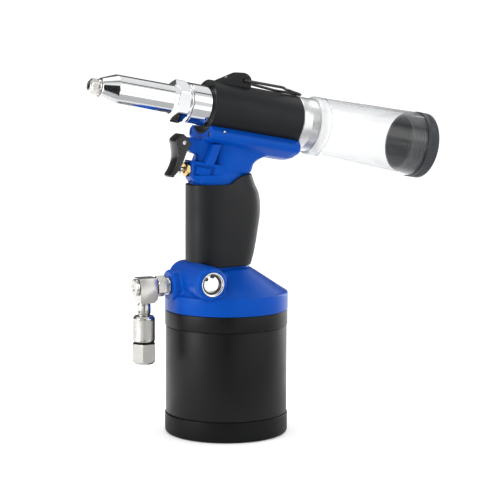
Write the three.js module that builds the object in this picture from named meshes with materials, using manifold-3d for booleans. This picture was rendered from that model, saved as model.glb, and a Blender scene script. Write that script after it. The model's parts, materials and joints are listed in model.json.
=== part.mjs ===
// Air-hydraulic blind rivet gun, built from its separate pieces.
// Millimetres, +Z up. The origin is the middle of the foot's underside, and the nose points to -X.
import * as THREE from 'three';
import { mergeVertices } from 'three/addons/utils/BufferGeometryUtils.js';
import Module from 'manifold-3d';

const wasm = await Module();
wasm.setup();

// ---- Driving dimensions --------------------------------------------------------------------

const TILT = THREE.MathUtils.degToRad(10.2); // the barrel rises towards the nose
const BARREL_Z = 253.9; // height of the barrel axis over the middle of the base
const GAP = 0.3; // clearance between pieces that touch
const ROUND = 36; // sides of a large turned piece
const SMALL = 20; // sides of a small turned piece
const INNER = 16; // sides of a small piece that is hidden inside

const CUP_RADIUS = 48.5; // base cup, the widest part of the base
const SLEEVE_RADIUS = 47.8; // black sleeve between the cup and the top band
const TUBE_OUTER = 45; // aluminium air cylinder
const TUBE_INNER = 42;
const CUP_TOP = 16.1;
const BAND_BOTTOM = 86;
const BAND_TOP = 98.3;
const RIM_BOTTOM = 98.6; // blue rim of the body, above the top band
const RIM_TOP = 112.9;
const RIM_RADIUS = 48.6;
const HEAD_CEILING = 104.3; // roof of the air chamber in the body

const RAM_RADIUS = 8;
const RAM_TOP = 140.5;
const RAM_BORE_TOP = 206;
const OIL_PASSAGE = 3;

const VALVE_X = -31.3; // main air valve, across the tool in Y
const VALVE_Z = 123.9;
const VALVE_FACE = 40; // distance of the valve boss's face from the middle plane
const VALVE_FAR = 14; // distance of the blind end on the far side
const INLET_Z = 119.4; // air inlet axis, along -X
const INLET_FACE = 50.5;
const DROP_X = -71; // the swivel fitting's vertical axis

const TRIGGER_X = -39.7; // trigger pivot
const TRIGGER_Z = 230.3;
const STEM_Z = 209.3; // trigger valve axis, along X
const HOUSING_FRONT = -33.6;
const HOUSING_ROOF = 216.4; // at the front, from where it falls parallel to the barrel
const LUG_HALF = 4;

const SHROUD_RADIUS = 21.1;
const SHROUD_WALL = 1.35;
const SHROUD_FRONT = 19.7;
const SHROUD_REAR = -57.7;
const CYLINDER_RADIUS = 19.4;
const CYLINDER_FRONT = 17;
const HANGER_S = -7.5; // hanger pivot in the shroud's lug
const HANGER_H = 24.9;

// ---- Materials -----------------------------------------------------------------------------

const finish = (color, roughness, metalness) =>
  new THREE.MeshStandardMaterial({ color, roughness, metalness });
const BLUE = finish(0x0a4fb4, 0.35, 0.2);
const BLACK_PLASTIC = finish(0x1d1f21, 0.55, 0);
const RUBBER = finish(0x222426, 0.8, 0);
const CHROME = finish(0xd8dadc, 0.08, 1);
const STEEL = finish(0xa9adb0, 0.3, 1);
const ALUMINIUM = finish(0xc8cacc, 0.35, 1);
const NICKEL = finish(0xd5d3cc, 0.25, 1);
const BRASS = finish(0xc9a35a, 0.3, 1);
const CLEAR = new THREE.MeshStandardMaterial({
  color: 0xeef2f4, roughness: 0.05, metalness: 0, transparent: true, opacity: 0.3,
});
const SEAL = finish(0x141414, 0.7, 0);

// ---- Shape helpers -------------------------------------------------------------------------

// A closed three.js geometry as a manifold solid, its doubled corners merged.
function solid(geometry) {
  const bare = geometry.index ? geometry.toNonIndexed() : geometry.clone();
  for (const name of Object.keys(bare.attributes)) {
    if (name !== 'position') bare.deleteAttribute(name);
  }
  const merged = mergeVertices(bare, 1e-4);
  const index = merged.index.array;
  const triangles = [];
  for (let i = 0; i < index.length; i += 3) {
    const [a, b, c] = [index[i], index[i + 1], index[i + 2]];
    if (a !== b && b !== c && c !== a) triangles.push(a, b, c);
  }
  return new wasm.Manifold(new wasm.Mesh({
    numProp: 3,
    vertProperties: Float32Array.from(merged.attributes.position.array),
    triVerts: Uint32Array.from(triangles),
  }));
}

// Adds a solid to the scene graph as a named mesh.
function piece(name, shape, material, parent) {
  const { vertProperties, triVerts } = shape.getMesh();
  const geometry = new THREE.BufferGeometry();
  geometry.setAttribute('position', new THREE.BufferAttribute(vertProperties, 3));
  geometry.setIndex(new THREE.BufferAttribute(triVerts, 1));
  geometry.computeVertexNormals();
  const mesh = new THREE.Mesh(geometry, material);
  mesh.name = name;
  parent.add(mesh);
}

// Turned about +Z from [radius, height] points that run upwards outside, from axis to axis.
function turnedGeometry(points, sides = ROUND) {
  const profile = points.map(([radius, height]) => new THREE.Vector2(radius, height));
  return new THREE.LatheGeometry(profile, sides).rotateX(Math.PI / 2);
}
const turned = (points, sides) => solid(turnedGeometry(points, sides));

// A turned ring or tube: the profile closes on itself.
const ringProfile = (points, sides) => turned([...points, points[0]], sides);
const tube = (inner, outer, low, high, sides) =>
  ringProfile([[inner, low], [outer, low], [outer, high], [inner, high]], sides);
const rod = (radius, low, high, sides = SMALL) =>
  turned([[0, low], [radius, low], [radius, high], [0, high]], sides);

// A six-sided prism along Z, given across its flats; turn rotates it about Z.
function hexagon(acrossFlats, low, high, turn = 0) {
  const radius = acrossFlats / Math.sqrt(3);
  const prism = new THREE.CylinderGeometry(radius, radius, high - low, 6);
  return solid(prism.rotateX(Math.PI / 2).rotateZ(turn).translate(0, 0, (low + high) / 2));
}

function box(x, y, z) {
  const size = [];
  const middle = [];
  for (const [low, high] of [x, y, z]) {
    size.push(high - low);
    middle.push((low + high) / 2);
  }
  return new THREE.BoxGeometry(...size).translate(...middle);
}

// An outline in the XZ plane as a plate of the given width, middled on y = 0.
function plateGeometry(outline, width) {
  const shape = new THREE.Shape(outline.map(([x, z]) => new THREE.Vector2(x, z)));
  const plate = new THREE.ExtrudeGeometry(shape, { depth: width, bevelEnabled: false, curveSegments: 8 });
  return plate.rotateX(Math.PI / 2).translate(0, width / 2, 0);
}

// Points on an arc, from one angle to another in degrees.
function arc(x, y, radius, from, to, steps) {
  const points = [];
  for (let i = 0; i <= steps; i++) {
    const angle = THREE.MathUtils.degToRad(from + ((to - from) * i) / steps);
    points.push([x + radius * Math.cos(angle), y + radius * Math.sin(angle)]);
  }
  return points;
}

// A closed skin over rings of Vector3 with the same number of points each, with flat ends.
function loft(rings) {
  const count = rings[0].length;
  const middles = [rings[0], rings.at(-1)].map((ring) =>
    ring.reduce((sum, point) => sum.add(point), new THREE.Vector3()).divideScalar(count));
  const vertices = [...rings.flat(), ...middles].flatMap((point) => point.toArray());
  const index = [];
  const last = (rings.length - 1) * count;
  for (let i = 0; i < count; i++) {
    const next = (i + 1) % count;
    for (let base = 0; base < last; base += count) {
      index.push(base + i, base + next, base + count + next);
      index.push(base + i, base + count + next, base + count + i);
    }
    index.push(last + count, next, i);
    index.push(last + count + 1, last + i, last + next);
  }
  const geometry = new THREE.BufferGeometry();
  geometry.setAttribute('position', new THREE.Float32BufferAttribute(vertices, 3));
  geometry.setIndex(index);
  return geometry;
}

// A level ring between x = front and x = rear: an ellipse squared off by the power.
function levelRing({ z, front, rear, half }, power, sides) {
  const middle = (front + rear) / 2;
  const ring = [];
  for (let i = 0; i < sides; i++) {
    const angle = (2 * Math.PI * i) / sides;
    const [c, s] = [Math.cos(angle), Math.sin(angle)];
    const x = middle + ((rear - front) / 2) * Math.sign(c) * Math.abs(c) ** (2 / power);
    const y = half * Math.sign(s) * Math.abs(s) ** (2 / power);
    ring.push(new THREE.Vector3(x, y, z));
  }
  return ring;
}
const levelLoft = (sections, power, sides = 32) =>
  solid(loft(sections.map((section) => levelRing(section, power, sides))));

// A round wire along a curve.
function wire(curve, radius, steps, sides) {
  const section = new THREE.Shape(
    arc(0, 0, radius, 0, 360 * (1 - 1 / sides), sides - 1).map(([x, y]) => new THREE.Vector2(x, y)));
  return solid(new THREE.ExtrudeGeometry(section, { steps, bevelEnabled: false, extrudePath: curve }));
}

// A coil spring along Z.
function spring(coilRadius, wireRadius, low, high, turns) {
  class Helix extends THREE.Curve {
    getPoint(t, target = new THREE.Vector3()) {
      const angle = 2 * Math.PI * turns * t;
      const height = low + wireRadius + (high - low - 2 * wireRadius) * t;
      return target.set(coilRadius * Math.cos(angle), coilRadius * Math.sin(angle), height);
    }
  }
  return wire(new Helix(), wireRadius, turns * 9, 5);
}

// A path through corner points, each corner rounded off.
function roundedPath(corners, radius) {
  const path = new THREE.CurvePath();
  let start = corners[0];
  for (let i = 1; i < corners.length - 1; i++) {
    const back = corners[i - 1].clone().sub(corners[i]).normalize().multiplyScalar(radius);
    const ahead = corners[i + 1].clone().sub(corners[i]).normalize().multiplyScalar(radius);
    const [from, to] = [corners[i].clone().add(back), corners[i].clone().add(ahead)];
    path.add(new THREE.LineCurve3(start, from));
    path.add(new THREE.QuadraticBezierCurve3(from, corners[i], to));
    start = to;
  }
  path.add(new THREE.LineCurve3(start, corners.at(-1)));
  return path;
}

// ---- Frames --------------------------------------------------------------------------------

// In the barrel's frame Z runs to the nose, X is up and Y stays Y.
const tool = new THREE.Group();
const barrel = new THREE.Group();
barrel.position.z = BARREL_Z;
barrel.rotation.y = TILT - Math.PI / 2;
barrel.updateMatrix();
// In the inlet's frame Z runs out to -X and X is up.
const inlet = new THREE.Group();
inlet.position.z = INLET_Z;
inlet.rotation.y = -Math.PI / 2;
inlet.updateMatrix();
// In the valve's frame Z runs out of the plug's side, which is -Y.
const valve = new THREE.Group();
valve.position.set(VALVE_X, 0, VALVE_Z);
valve.rotation.x = Math.PI / 2;
valve.updateMatrix();
// In the trigger valve's frame Z runs forward to -X.
const stemLine = new THREE.Group();
stemLine.position.z = STEM_Z;
stemLine.rotation.y = -Math.PI / 2;
stemLine.updateMatrix();
// In the drop's frame Z stays vertical, on the swivel fitting's axis.
const drop = new THREE.Group();
drop.position.x = DROP_X;
tool.add(barrel, inlet, valve, stemLine, drop);

const inFrame = (geometry, frame) => solid(geometry.applyMatrix4(frame.matrix));
const intoBarrel = (geometry) => solid(geometry.applyMatrix4(barrel.matrix.clone().invert()));
const turnedIn = (frame, points, sides) => inFrame(turnedGeometry(points, sides), frame);
const rodPoints = (radius, low, high) => [[0, low], [radius, low], [radius, high], [0, high]];

// ---- Base: cup, sleeves, air cylinder and piston -------------------------------------------

const CUP_FLOOR = 3.2;
const WRAP_INNER = TUBE_OUTER + GAP; // inside of the black pieces round the air cylinder

function baseCup() {
  return turned([
    [0, 0], [CUP_RADIUS - 1.5, 0], [CUP_RADIUS, 1.5], [CUP_RADIUS, CUP_TOP],
    [WRAP_INNER, CUP_TOP], [WRAP_INNER, CUP_FLOOR], [0, CUP_FLOOR],
  ]);
}

function retainingRing(inner, outer, low, high, openWidth, earRadius) {
  const ring = tube(inner, outer, low, high, SMALL);
  const mouth = solid(box([inner - 1, outer + 1], [-openWidth / 2, openWidth / 2], [low - 1, high + 1]));
  let clip = ring.subtract(mouth);
  for (const side of [-1, 1]) {
    const turnEar = (geometry) => geometry.translate(inner - earRadius / 2, 0, 0)
      .rotateZ((side * (openWidth / 2 + earRadius)) / inner);
    clip = clip.add(solid(turnEar(turnedGeometry(rodPoints(earRadius, low, high), 12))));
    clip = clip.subtract(solid(turnEar(turnedGeometry(rodPoints(earRadius * 0.4, low - 1, high + 1), 8))));
  }
  return clip;
}

const PISTON_LOW = 12.7;
const PISTON_HIGH = 24.5;
const PISTON_RADIUS = 41.5;
const NUT_RECESS = 17.6;
const RAM_SPIGOT = 5;

function airPiston() {
  const bore = RAM_SPIGOT + GAP;
  return ringProfile([
    [bore, NUT_RECESS], [11.5, NUT_RECESS], [11.5, PISTON_LOW], [PISTON_RADIUS, PISTON_LOW],
    [PISTON_RADIUS, 16.5], [39, 16.5], [39, 20.5], [PISTON_RADIUS, 20.5],
    [PISTON_RADIUS, PISTON_HIGH], [bore, PISTON_HIGH],
  ]);
}

function ram() {
  return turned([
    [0, PISTON_LOW + 0.4], [RAM_SPIGOT, PISTON_LOW + 0.4], [RAM_SPIGOT, PISTON_HIGH + GAP],
    [RAM_RADIUS, PISTON_HIGH + GAP], [RAM_RADIUS, RAM_TOP - 1.5], [RAM_RADIUS - 1, RAM_TOP], [0, RAM_TOP],
  ], INNER);
}

const GLAND_BORE = RAM_RADIUS + GAP;
const GLAND_RADIUS = 14;
const GLAND_TOP = 117.2;

function ramGland() {
  return ringProfile([
    [GLAND_BORE, 98.5], [20, 98.5], [20, HEAD_CEILING - GAP], [GLAND_RADIUS, HEAD_CEILING - GAP],
    [GLAND_RADIUS, GLAND_TOP], [GLAND_BORE, GLAND_TOP], [GLAND_BORE, 110], [10.8, 110], [10.8, 106],
    [GLAND_BORE, 106],
  ], INNER);
}

piece('base_cup', baseCup(), RUBBER, tool);
piece('cylinder_sleeve', tube(WRAP_INNER, SLEEVE_RADIUS, CUP_TOP + GAP, BAND_BOTTOM - GAP), RUBBER, tool);
piece('top_band', tube(WRAP_INNER, CUP_RADIUS - 0.1, BAND_BOTTOM, BAND_TOP), RUBBER, tool);
piece('air_cylinder', tube(TUBE_INNER, TUBE_OUTER, CUP_FLOOR + GAP, HEAD_CEILING - GAP), ALUMINIUM, tool);
piece('base_plate', rod(TUBE_INNER - GAP, 6, 12, ROUND), ALUMINIUM, tool);
piece('base_plate_ring', retainingRing(38, TUBE_INNER - GAP, 3.9, 5.7, 16, 3), STEEL, tool);
piece('air_piston', airPiston(), ALUMINIUM, tool);
piece('air_piston_seal', tube(39 + GAP, TUBE_INNER - GAP, 16.8, 20.2), SEAL, tool);
piece('ram', ram(), CHROME, tool);
piece('ram_nut', hexagon(17, 13.2, 17.2).subtract(rod(RAM_SPIGOT + GAP, 12, 19, SMALL)), STEEL, tool);
piece('ram_gland', ramGland(), STEEL, tool);
piece('ram_seal', tube(RAM_RADIUS + 0.2, 10.5, 106.3, 109.7, INNER), SEAL, tool);

// ---- Handle: grip sleeve over the body's core ----------------------------------------------

const GRIP_POWER = 2.4;
const GRIP_WALL = 3;
const GRIP_TOP_FRONT = 197.6;
const GRIP_TOP_REAR = 204.8;
const GRIP_FRONT = -33.4;
const GRIP = [
  { z: 133.3, rear: 18.8, half: 19 },
  { z: 144, rear: 21.8, half: 19.6 },
  { z: 159, rear: 24.6, half: 20 },
  { z: 175, rear: 26.9, half: 20 },
  { z: 188, rear: 25.8, half: 19.8 },
  { z: 197, rear: 21.8, half: 19 },
  { z: 205.5, rear: 18.9, half: 18 },
].map((section) => ({ front: GRIP_FRONT, ...section }));

const inset = ({ z, front, rear, half }, by) => ({ z, front: front + by, rear: rear - by, half: half - by });

function gripSleeve() {
  const outside = levelLoft(GRIP, GRIP_POWER);
  const hollow = levelLoft([
    { ...inset(GRIP[0], GRIP_WALL), z: 112 },
    ...GRIP.slice(1, -1).map((section) => inset(section, GRIP_WALL)),
    { z: 205.5, front: GRIP_FRONT + GRIP_WALL, rear: 17.9, half: 16.8 },
    { z: 215, front: GRIP_FRONT + GRIP_WALL, rear: 17.9, half: 16.8 },
  ], GRIP_POWER);
  const above = solid(plateGeometry([
    [-50, GRIP_TOP_FRONT], [-9, GRIP_TOP_FRONT], [-5, 198.4], [0, 201.6], [4, 203.6], [9, GRIP_TOP_REAR],
    [50, GRIP_TOP_REAR], [50, 230], [-50, 230],
  ], 60));
  const sleeve = outside.subtract(hollow).subtract(above);
  return sleeve.subtract(turnedIn(valve, rodPoints(BOSS_RADIUS + 0.5, -VALVE_FAR - 0.5, VALVE_FACE), ROUND));
}

// ---- Body casting --------------------------------------------------------------------------

const BOSS_RADIUS = 13.3; // round the main valve
const CORE_GAP = GRIP_WALL + GAP;
const CORE_FRONT = GRIP_FRONT + CORE_GAP;

// Handle core inside the grip, then the neck, which flares into the saddle behind.
function handleCore() {
  const core = levelLoft([
    { ...inset(GRIP[0], CORE_GAP), z: 112 },
    ...GRIP.slice(1, -1).map((section) => inset(section, CORE_GAP)),
    { z: 205, front: CORE_FRONT, rear: 16.3, half: 15 },
  ], GRIP_POWER);
  const neck = levelLoft([
    { z: 199, front: -29.4, rear: 15.9, half: 14 },
    { z: 203, front: -21, rear: 15.6, half: 13.6 },
    { z: 205, front: -17.5, rear: 15.6, half: 13.2 },
    { z: 206.5, front: -15.5, rear: 17.5, half: 14.6 },
    { z: 212, front: -14.8, rear: 19.2, half: 14.5 },
    { z: 214.6, front: -14.6, rear: 22, half: 14.4 },
    { z: 216.4, front: -14.5, rear: 26, half: 14.2 },
    { z: 217.8, front: -14.4, rear: 31, half: 14 },
    { z: 225, front: -14, rear: 33, half: 13.4 },
    { z: 236, front: -13, rear: 30, half: 12 },
  ], 4);
  return core.add(neck);
}

// Lower head: rim over the air cylinder, cone, and the shoulder that carries the bosses.
function lowerHead() {
  const dome = turned([
    [0, RIM_BOTTOM], [RIM_RADIUS, RIM_BOTTOM], [RIM_RADIUS, RIM_TOP - 1.4], [RIM_RADIUS - 0.4, RIM_TOP - 0.5],
    [RIM_RADIUS - 1.4, RIM_TOP], [28, 125.2], [19, 131], [0, 133],
  ]);
  const shoulder = levelLoft([
    { z: 108, front: -46, rear: 0, half: 33 },
    { z: 116, front: -45, rear: 0, half: 31 },
    { z: 124, front: -42, rear: 0, half: 27 },
    { z: 130, front: -38, rear: 0, half: 22 },
  ], 2.2);
  const boss = turnedIn(valve, [
    [0, -VALVE_FAR], [BOSS_RADIUS - 1, -VALVE_FAR], [BOSS_RADIUS, 1 - VALVE_FAR],
    [BOSS_RADIUS, VALVE_FACE - 5], [BOSS_RADIUS - 1.6, VALVE_FACE], [0, VALVE_FACE],
  ], ROUND);
  return dome.add(shoulder).add(boss).add(turnedIn(inlet, [
    [0, 20], [13.2, 20], [13, 42], [12.2, INLET_FACE - 1], [11.2, INLET_FACE], [0, INLET_FACE],
  ], ROUND));
}

// Trigger housing: a wedge that narrows to the front, its roof parallel to the barrel and a
// framed recess in each side.
function triggerHousing() {
  const plan = new THREE.Shape([
    [-5, -13.8], [-14, -13.8], [-32.4, -7.2], [HOUSING_FRONT, -5.6], [HOUSING_FRONT, 5.6], [-32.4, 7.2],
    [-14, 13.8], [-5, 13.8],
  ].map(([x, y]) => new THREE.Vector2(x, y)));
  const column = new THREE.ExtrudeGeometry(plan, { depth: 30, bevelEnabled: false });
  const profile = plateGeometry([
    [-5, 198], [-29.4, 198], [HOUSING_FRONT, 203.4], [HOUSING_FRONT, HOUSING_ROOF], [-5, HOUSING_ROOF - 5.15],
  ], 40);
  let housing = solid(column.translate(0, 0, 195)).intersect(solid(profile));
  for (const side of [-1, 1]) {
    const onSide = (along, depth, below) => solid(box(along, depth, below).rotateY(TILT)
      .rotateZ(side * THREE.MathUtils.degToRad(19.7)).translate(-32.4, side * 7.2, HOUSING_ROOF - 0.2));
    housing = housing.subtract(onSide([1.6, 18], side < 0 ? [-3, 1.5] : [-1.5, 3], [-10.8, -2.3]))
      .add(onSide([3.5, 15], side < 0 ? [0.8, 2.5] : [-2.5, -0.8], [-10.2, -3.8]));
  }
  return housing;
}

// Web under the saddle's front, and the lug that carries the trigger.
function triggerLug() {
  const web = levelLoft([
    { z: 211, front: -27.4, rear: 0, half: 7.6 },
    { z: 222, front: -27.4, rear: 0, half: 7.6 },
    { z: 228, front: -29, rear: 0, half: 8.4 },
    { z: 231.5, front: -28.5, rear: 0, half: 9.5 },
  ], 2.3);
  const lug = solid(plateGeometry([
    [-20, 220.6], [-30.5, 221.2], ...arc(TRIGGER_X, TRIGGER_Z, 4.4, 300, 95, 9), [-24, 233], [-20, 232],
  ], 2 * LUG_HALF));
  return web.add(lug).subtract(pivotHole(1.95, 20));
}

const pivotHole = (radius, width) => solid(turnedGeometry(rodPoints(radius, -width / 2, width / 2), 16)
  .rotateX(Math.PI / 2).translate(TRIGGER_X, 0, TRIGGER_Z));

// Slanted flat ribs beside the neck, from the saddle down to the trigger housing.
const sideRibs = () => solid(plateGeometry([[-18, 212.6], [-24.6, 213], [-18, 229], [-11, 228.8]], 28.4))
  .subtract(solid(box([-40, 0], [-8, 8], [200, 240])));

// Saddle under the barrel: a trough with a rounded rail along each edge. In the barrel's frame
// each ring lies across the axis, with bottom giving its lowest point.
function saddleRing({ s, bottom, spread }) {
  const RAIL_FOOT = -25.3;
  const drop = bottom - RAIL_FOOT;
  const half = [
    [12.5, -11.5], [17.6, -15.3], [20.4, -17.6], [21.1, -20.4], [20.2, -23.2], [17.6, RAIL_FOOT],
    [12, RAIL_FOOT + 0.68 * drop], [6, RAIL_FOOT + 0.95 * drop],
  ].map(([y, h]) => [y * spread, h < -17.6 ? -17.6 + (h + 17.6) * spread : h]);
  const right = half.map(([y, h]) => new THREE.Vector3(h, y, s));
  const left = half.map(([y, h]) => new THREE.Vector3(h, -y, s)).reverse();
  const middle = new THREE.Vector3(bottom * spread, 0, s);
  return [...left, new THREE.Vector3(-11.5, 0, s), ...right, middle];
}

function saddle() {
  const rings = [
    { s: -60.6, bottom: -26.5, spread: 0.86 },
    { s: -59.6, bottom: -28.4, spread: 0.94 },
    { s: -57.6, bottom: -30, spread: 0.98 },
    { s: -54, bottom: -31, spread: 1 },
    { s: -49, bottom: -31.3, spread: 1 },
    { s: -28, bottom: -31.3, spread: 1 },
    { s: -10, bottom: -29.6, spread: 1 },
    { s: 6, bottom: -27.8, spread: 1 },
    { s: SHROUD_FRONT - 0.6, bottom: -27.2, spread: 1 },
    { s: SHROUD_FRONT, bottom: -26.8, spread: 0.985 },
  ].map(saddleRing);
  return inFrame(loft(rings), barrel);
}

const SCREW_Y = 16;
const SCREW_H = -20.7;

function mainBody() {
  const bore = (frame, radius, low, high, sides = SMALL) =>
    turnedIn(frame, rodPoints(radius, low, high), sides);
  let body = lowerHead().add(handleCore()).add(triggerHousing()).add(triggerLug())
    .add(sideRibs()).add(saddle())
    .add(rod(9.4, 214, 240));
  body = body.subtract(bore(barrel, SHROUD_RADIUS + GAP, SHROUD_REAR - 20, SHROUD_FRONT + 40, ROUND)
    .subtract(rod(9.4, 200, 245)));
  body = body.subtract(bore(barrel, CYLINDER_RADIUS + GAP, SHROUD_REAR - 20, SHROUD_FRONT + 40, ROUND));
  body = body.subtract(rod(TUBE_OUTER + GAP + 0.2, RIM_BOTTOM - 1, HEAD_CEILING, ROUND))
    .subtract(rod(GLAND_RADIUS + GAP, HEAD_CEILING - 1, GLAND_TOP + GAP))
    .subtract(rod(RAM_RADIUS + 1.2, GLAND_TOP, RAM_BORE_TOP))
    .subtract(rod(OIL_PASSAGE, RAM_BORE_TOP - 1, 250, 12));
  body = body.subtract(bore(valve, 9.6, VALVE_FACE - 4.4, VALVE_FACE + 1))
    .subtract(bore(valve, 7, 3 - VALVE_FAR, VALVE_FACE - 4));
  body = body.subtract(bore(inlet, 5, 33, INLET_FACE + 1))
    .subtract(bore(stemLine, 5.2, 12, 40));
  for (const side of [-1, 1]) {
    const hole = turnedGeometry(rodPoints(2.4, SHROUD_FRONT - 7, SHROUD_FRONT + 1), INNER);
    body = body.subtract(inFrame(hole.translate(SCREW_H, side * SCREW_Y, 0), barrel));
  }
  return body.subtract(inFrame(bleedPocket(), barrel));
}

// ---- Bleed screw in the near rail ----------------------------------------------------------

const BLEED_S = 9.2;
const BLEED_H = -17.1;

const alongSide = (geometry) => geometry.rotateX(Math.PI / 2).translate(BLEED_H, 0, BLEED_S);
const bleedPocket = () => alongSide(turnedGeometry(rodPoints(1.3, 16.6, 25), INNER));

piece('grip_sleeve', gripSleeve(), RUBBER, tool);
piece('main_body', mainBody(), BLUE, tool);

// ---- Trigger and its valve -----------------------------------------------------------------

function trigger() {
  const outline = [
    [-42.5, 237], [-46.6, 233.6], [-47.6, 231], [-46.6, 227], [-46, 222], [-46.2, 217.5],
    [-47.4, 213], [-49.6, 208.6], [-52, 205.2], [-51.4, 203.6], [-49.6, 203.8], [-46.6, 206.6],
    [-43.7, 210], [-40.8, 215.4], [-38.9, 220.4], [-37, 224.4], [-34.8, 227.6], [-34.6, 229.8],
    [-36.6, 233.4], [-39.4, 236.2],
  ];
  const lever = solid(plateGeometry(outline, 14.6));
  const slot = solid(plateGeometry([
    ...arc(TRIGGER_X, TRIGGER_Z, 5.2, 90, 240, 7), [-40.5, 219.6], [-30, 219.6], [-30, TRIGGER_Z + 5.2],
  ], 2 * (LUG_HALF + 0.4)));
  return lever.subtract(slot).subtract(pivotHole(1.95, 20));
}

const STEM_TIP = 43; // foremost point of the valve stem, before the trigger's back

function triggerValveBody() {
  return ringProfile([
    [2.2, 21.4], [4.9, 21.4], [4.9, -HOUSING_FRONT + GAP], [5.9, -HOUSING_FRONT + GAP],
    [5.9, 36.1], [4.9, 37], [2.2, 37],
  ], SMALL);
}

function triggerValveStem() {
  return turned([
    [0, 19.6], [3.6, 19.6], [3.6, 20.6], [1.8, 20.6], [1.8, 40.9], [3.6, 40.9], [4.1, 41.1], [4.1, 41.4],
    [1.9, STEM_TIP], [0, STEM_TIP],
  ], 16);
}

piece('trigger', trigger(), BLACK_PLASTIC, tool);
const pinShape = turnedGeometry(rodPoints(1.6, -8, 8), 16).rotateX(Math.PI / 2);
piece('trigger_pin', solid(pinShape.translate(TRIGGER_X, 0, TRIGGER_Z)), STEEL, tool);
piece('trigger_valve_body', triggerValveBody(), BRASS, stemLine);
piece('trigger_valve_stem', triggerValveStem(), NICKEL, stemLine);
piece('trigger_valve_spring', spring(3, 0.5, 12.3, 19.3, 3), STEEL, stemLine);

// ---- Main air valve ------------------------------------------------------------------------

const BEZEL_OUT = VALVE_FACE + 0.5;

function valvePlug() {
  return turned([
    [0, 29], [6.7, 29], [6.7, 31], [5.3, 31], [5.3, 33.4], [6.7, 33.4], [6.7, 35.9], [7.6, 35.9],
    [7.6, 37.4], [0, 37.4],
  ], INNER);
}

function valveSpool() {
  const land = 6.6;
  const waist = 3.6;
  return turned([
    [0, 0.3], [land, 0.3], [land, 5], [waist, 5], [waist, 11], [land, 11], [land, 16], [waist, 16],
    [waist, 22], [land, 22], [land, 27], [0, 27],
  ], INNER);
}

piece('valve_bezel', ringProfile([
  [7.9, VALVE_FACE - 4.1], [9.3, VALVE_FACE - 4.1], [9.3, BEZEL_OUT], [8.6, BEZEL_OUT],
  [8.6, VALVE_FACE - 1.1], [7.9, VALVE_FACE - 1.1],
], SMALL), CHROME, valve);
piece('valve_plug', valvePlug(), CHROME, valve);
piece('valve_plug_ring', retainingRing(6.5, 7.6, 37.8, 38.7, 3, 1.5).rotate([0, 0, 111]), STEEL, valve);
piece('valve_plug_seal', tube(5.3 + GAP, 6.9, 31.3, 33.1, INNER), SEAL, valve);
piece('main_valve_spool', valveSpool(), STEEL, valve);
piece('valve_spool_spring', spring(4.2, 0.6, -10.7, 0, 4), STEEL, valve);

// ---- Air inlet: adapter, swivel block and hose coupling ------------------------------------

const HEX_START = 54.7;
const HEX_END = 61.3;
const BLOCK = { near: 61.96, far: 76.26, half: 6.6, bottom: 107.2, top: 126.8 };
const JOURNAL = 4.5;

function inletAdapter() {
  const turnedPart = ringProfile([
    [2.4, 41], [4.7, 41], [4.7, INLET_FACE + GAP], [6.8, INLET_FACE + GAP], [6.8, HEX_START],
    [5.8, HEX_START], [5.8, HEX_END], [JOURNAL, HEX_END], [JOURNAL, BLOCK.far + GAP], [2.4, BLOCK.far + GAP],
  ], SMALL);
  const hex = hexagon(14.5, HEX_START, HEX_END, Math.PI / 6).subtract(rod(5, 50, 70, SMALL));
  return turnedPart.add(hex);
}

function swivelBlock() {
  const { near, far, half, bottom, top } = BLOCK;
  const outline = [
    [-far + 1, bottom], [-near - 3, bottom], [-near, bottom + 3], [-near, top - 1.6], [-near - 1.6, top],
    [-far + 1.6, top], [-far, top - 1.6], [-far, bottom + 1],
  ];
  const corners = new THREE.Shape([
    [-far + 1.4, -half], [-near - 1, -half], [-near, -half + 1], [-near, half - 1], [-near - 1, half],
    [-far + 1.4, half], [-far, half - 1.4], [-far, -half + 1.4],
  ].map(([x, y]) => new THREE.Vector2(x, y)));
  const column = new THREE.ExtrudeGeometry(corners, { depth: 40, bevelEnabled: false }).translate(0, 0, 95);
  const through = turnedIn(inlet, rodPoints(JOURNAL + GAP, near - 1, far + 1), SMALL);
  const outlet = solid(turnedGeometry(rodPoints(4.3, bottom - 1, 112), SMALL).translate(DROP_X, 0, 0));
  const passage = solid(turnedGeometry(rodPoints(2.5, 111, 117), 12).translate(DROP_X, 0, 0));
  return solid(plateGeometry(outline, 2 * half)).intersect(solid(column))
    .subtract(through).subtract(outlet).subtract(passage);
}

// Bearing of the -X, -Y side, in degrees about Z, that turned vertical pieces show their features to.
const FRONT_ANGLE = -117;

function outletStub() {
  let stub = ringProfile([
    [2.6, 80], [4.4, 80], [4.4, 96.6], [5.25, 96.6], [5.25, BLOCK.bottom - GAP], [4, BLOCK.bottom - GAP],
    [4, 111.6], [2.6, 111.6],
  ], SMALL);
  for (const turn of [-41, 41]) {
    const hole = turnedGeometry(rodPoints(1.1, 3.4, 9), 10).rotateY(Math.PI / 2).translate(0, 0, 100.6);
    stub = stub.subtract(solid(hole.rotateZ(THREE.MathUtils.degToRad(FRONT_ANGLE + turn))));
  }
  return stub;
}

const SLEEVE_TOP = 97.2;
const SLEEVE_BOTTOM = 77.2;
const COUPLING_TOP = 75.6;
const COUPLING_BOTTOM = 59.8;
const SOCKET_RADIUS = 5.6;

function knurledSleeve() {
  return ringProfile([
    [6.8, SLEEVE_BOTTOM], [8.3, SLEEVE_BOTTOM], [8.6, SLEEVE_BOTTOM + 0.6], [8.6, SLEEVE_TOP - 1.6],
    [7.2, SLEEVE_TOP], [5.6, SLEEVE_TOP], [5.6, SLEEVE_TOP - 1.6], [6.8, SLEEVE_TOP - 1.6],
  ]);
}

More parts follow.
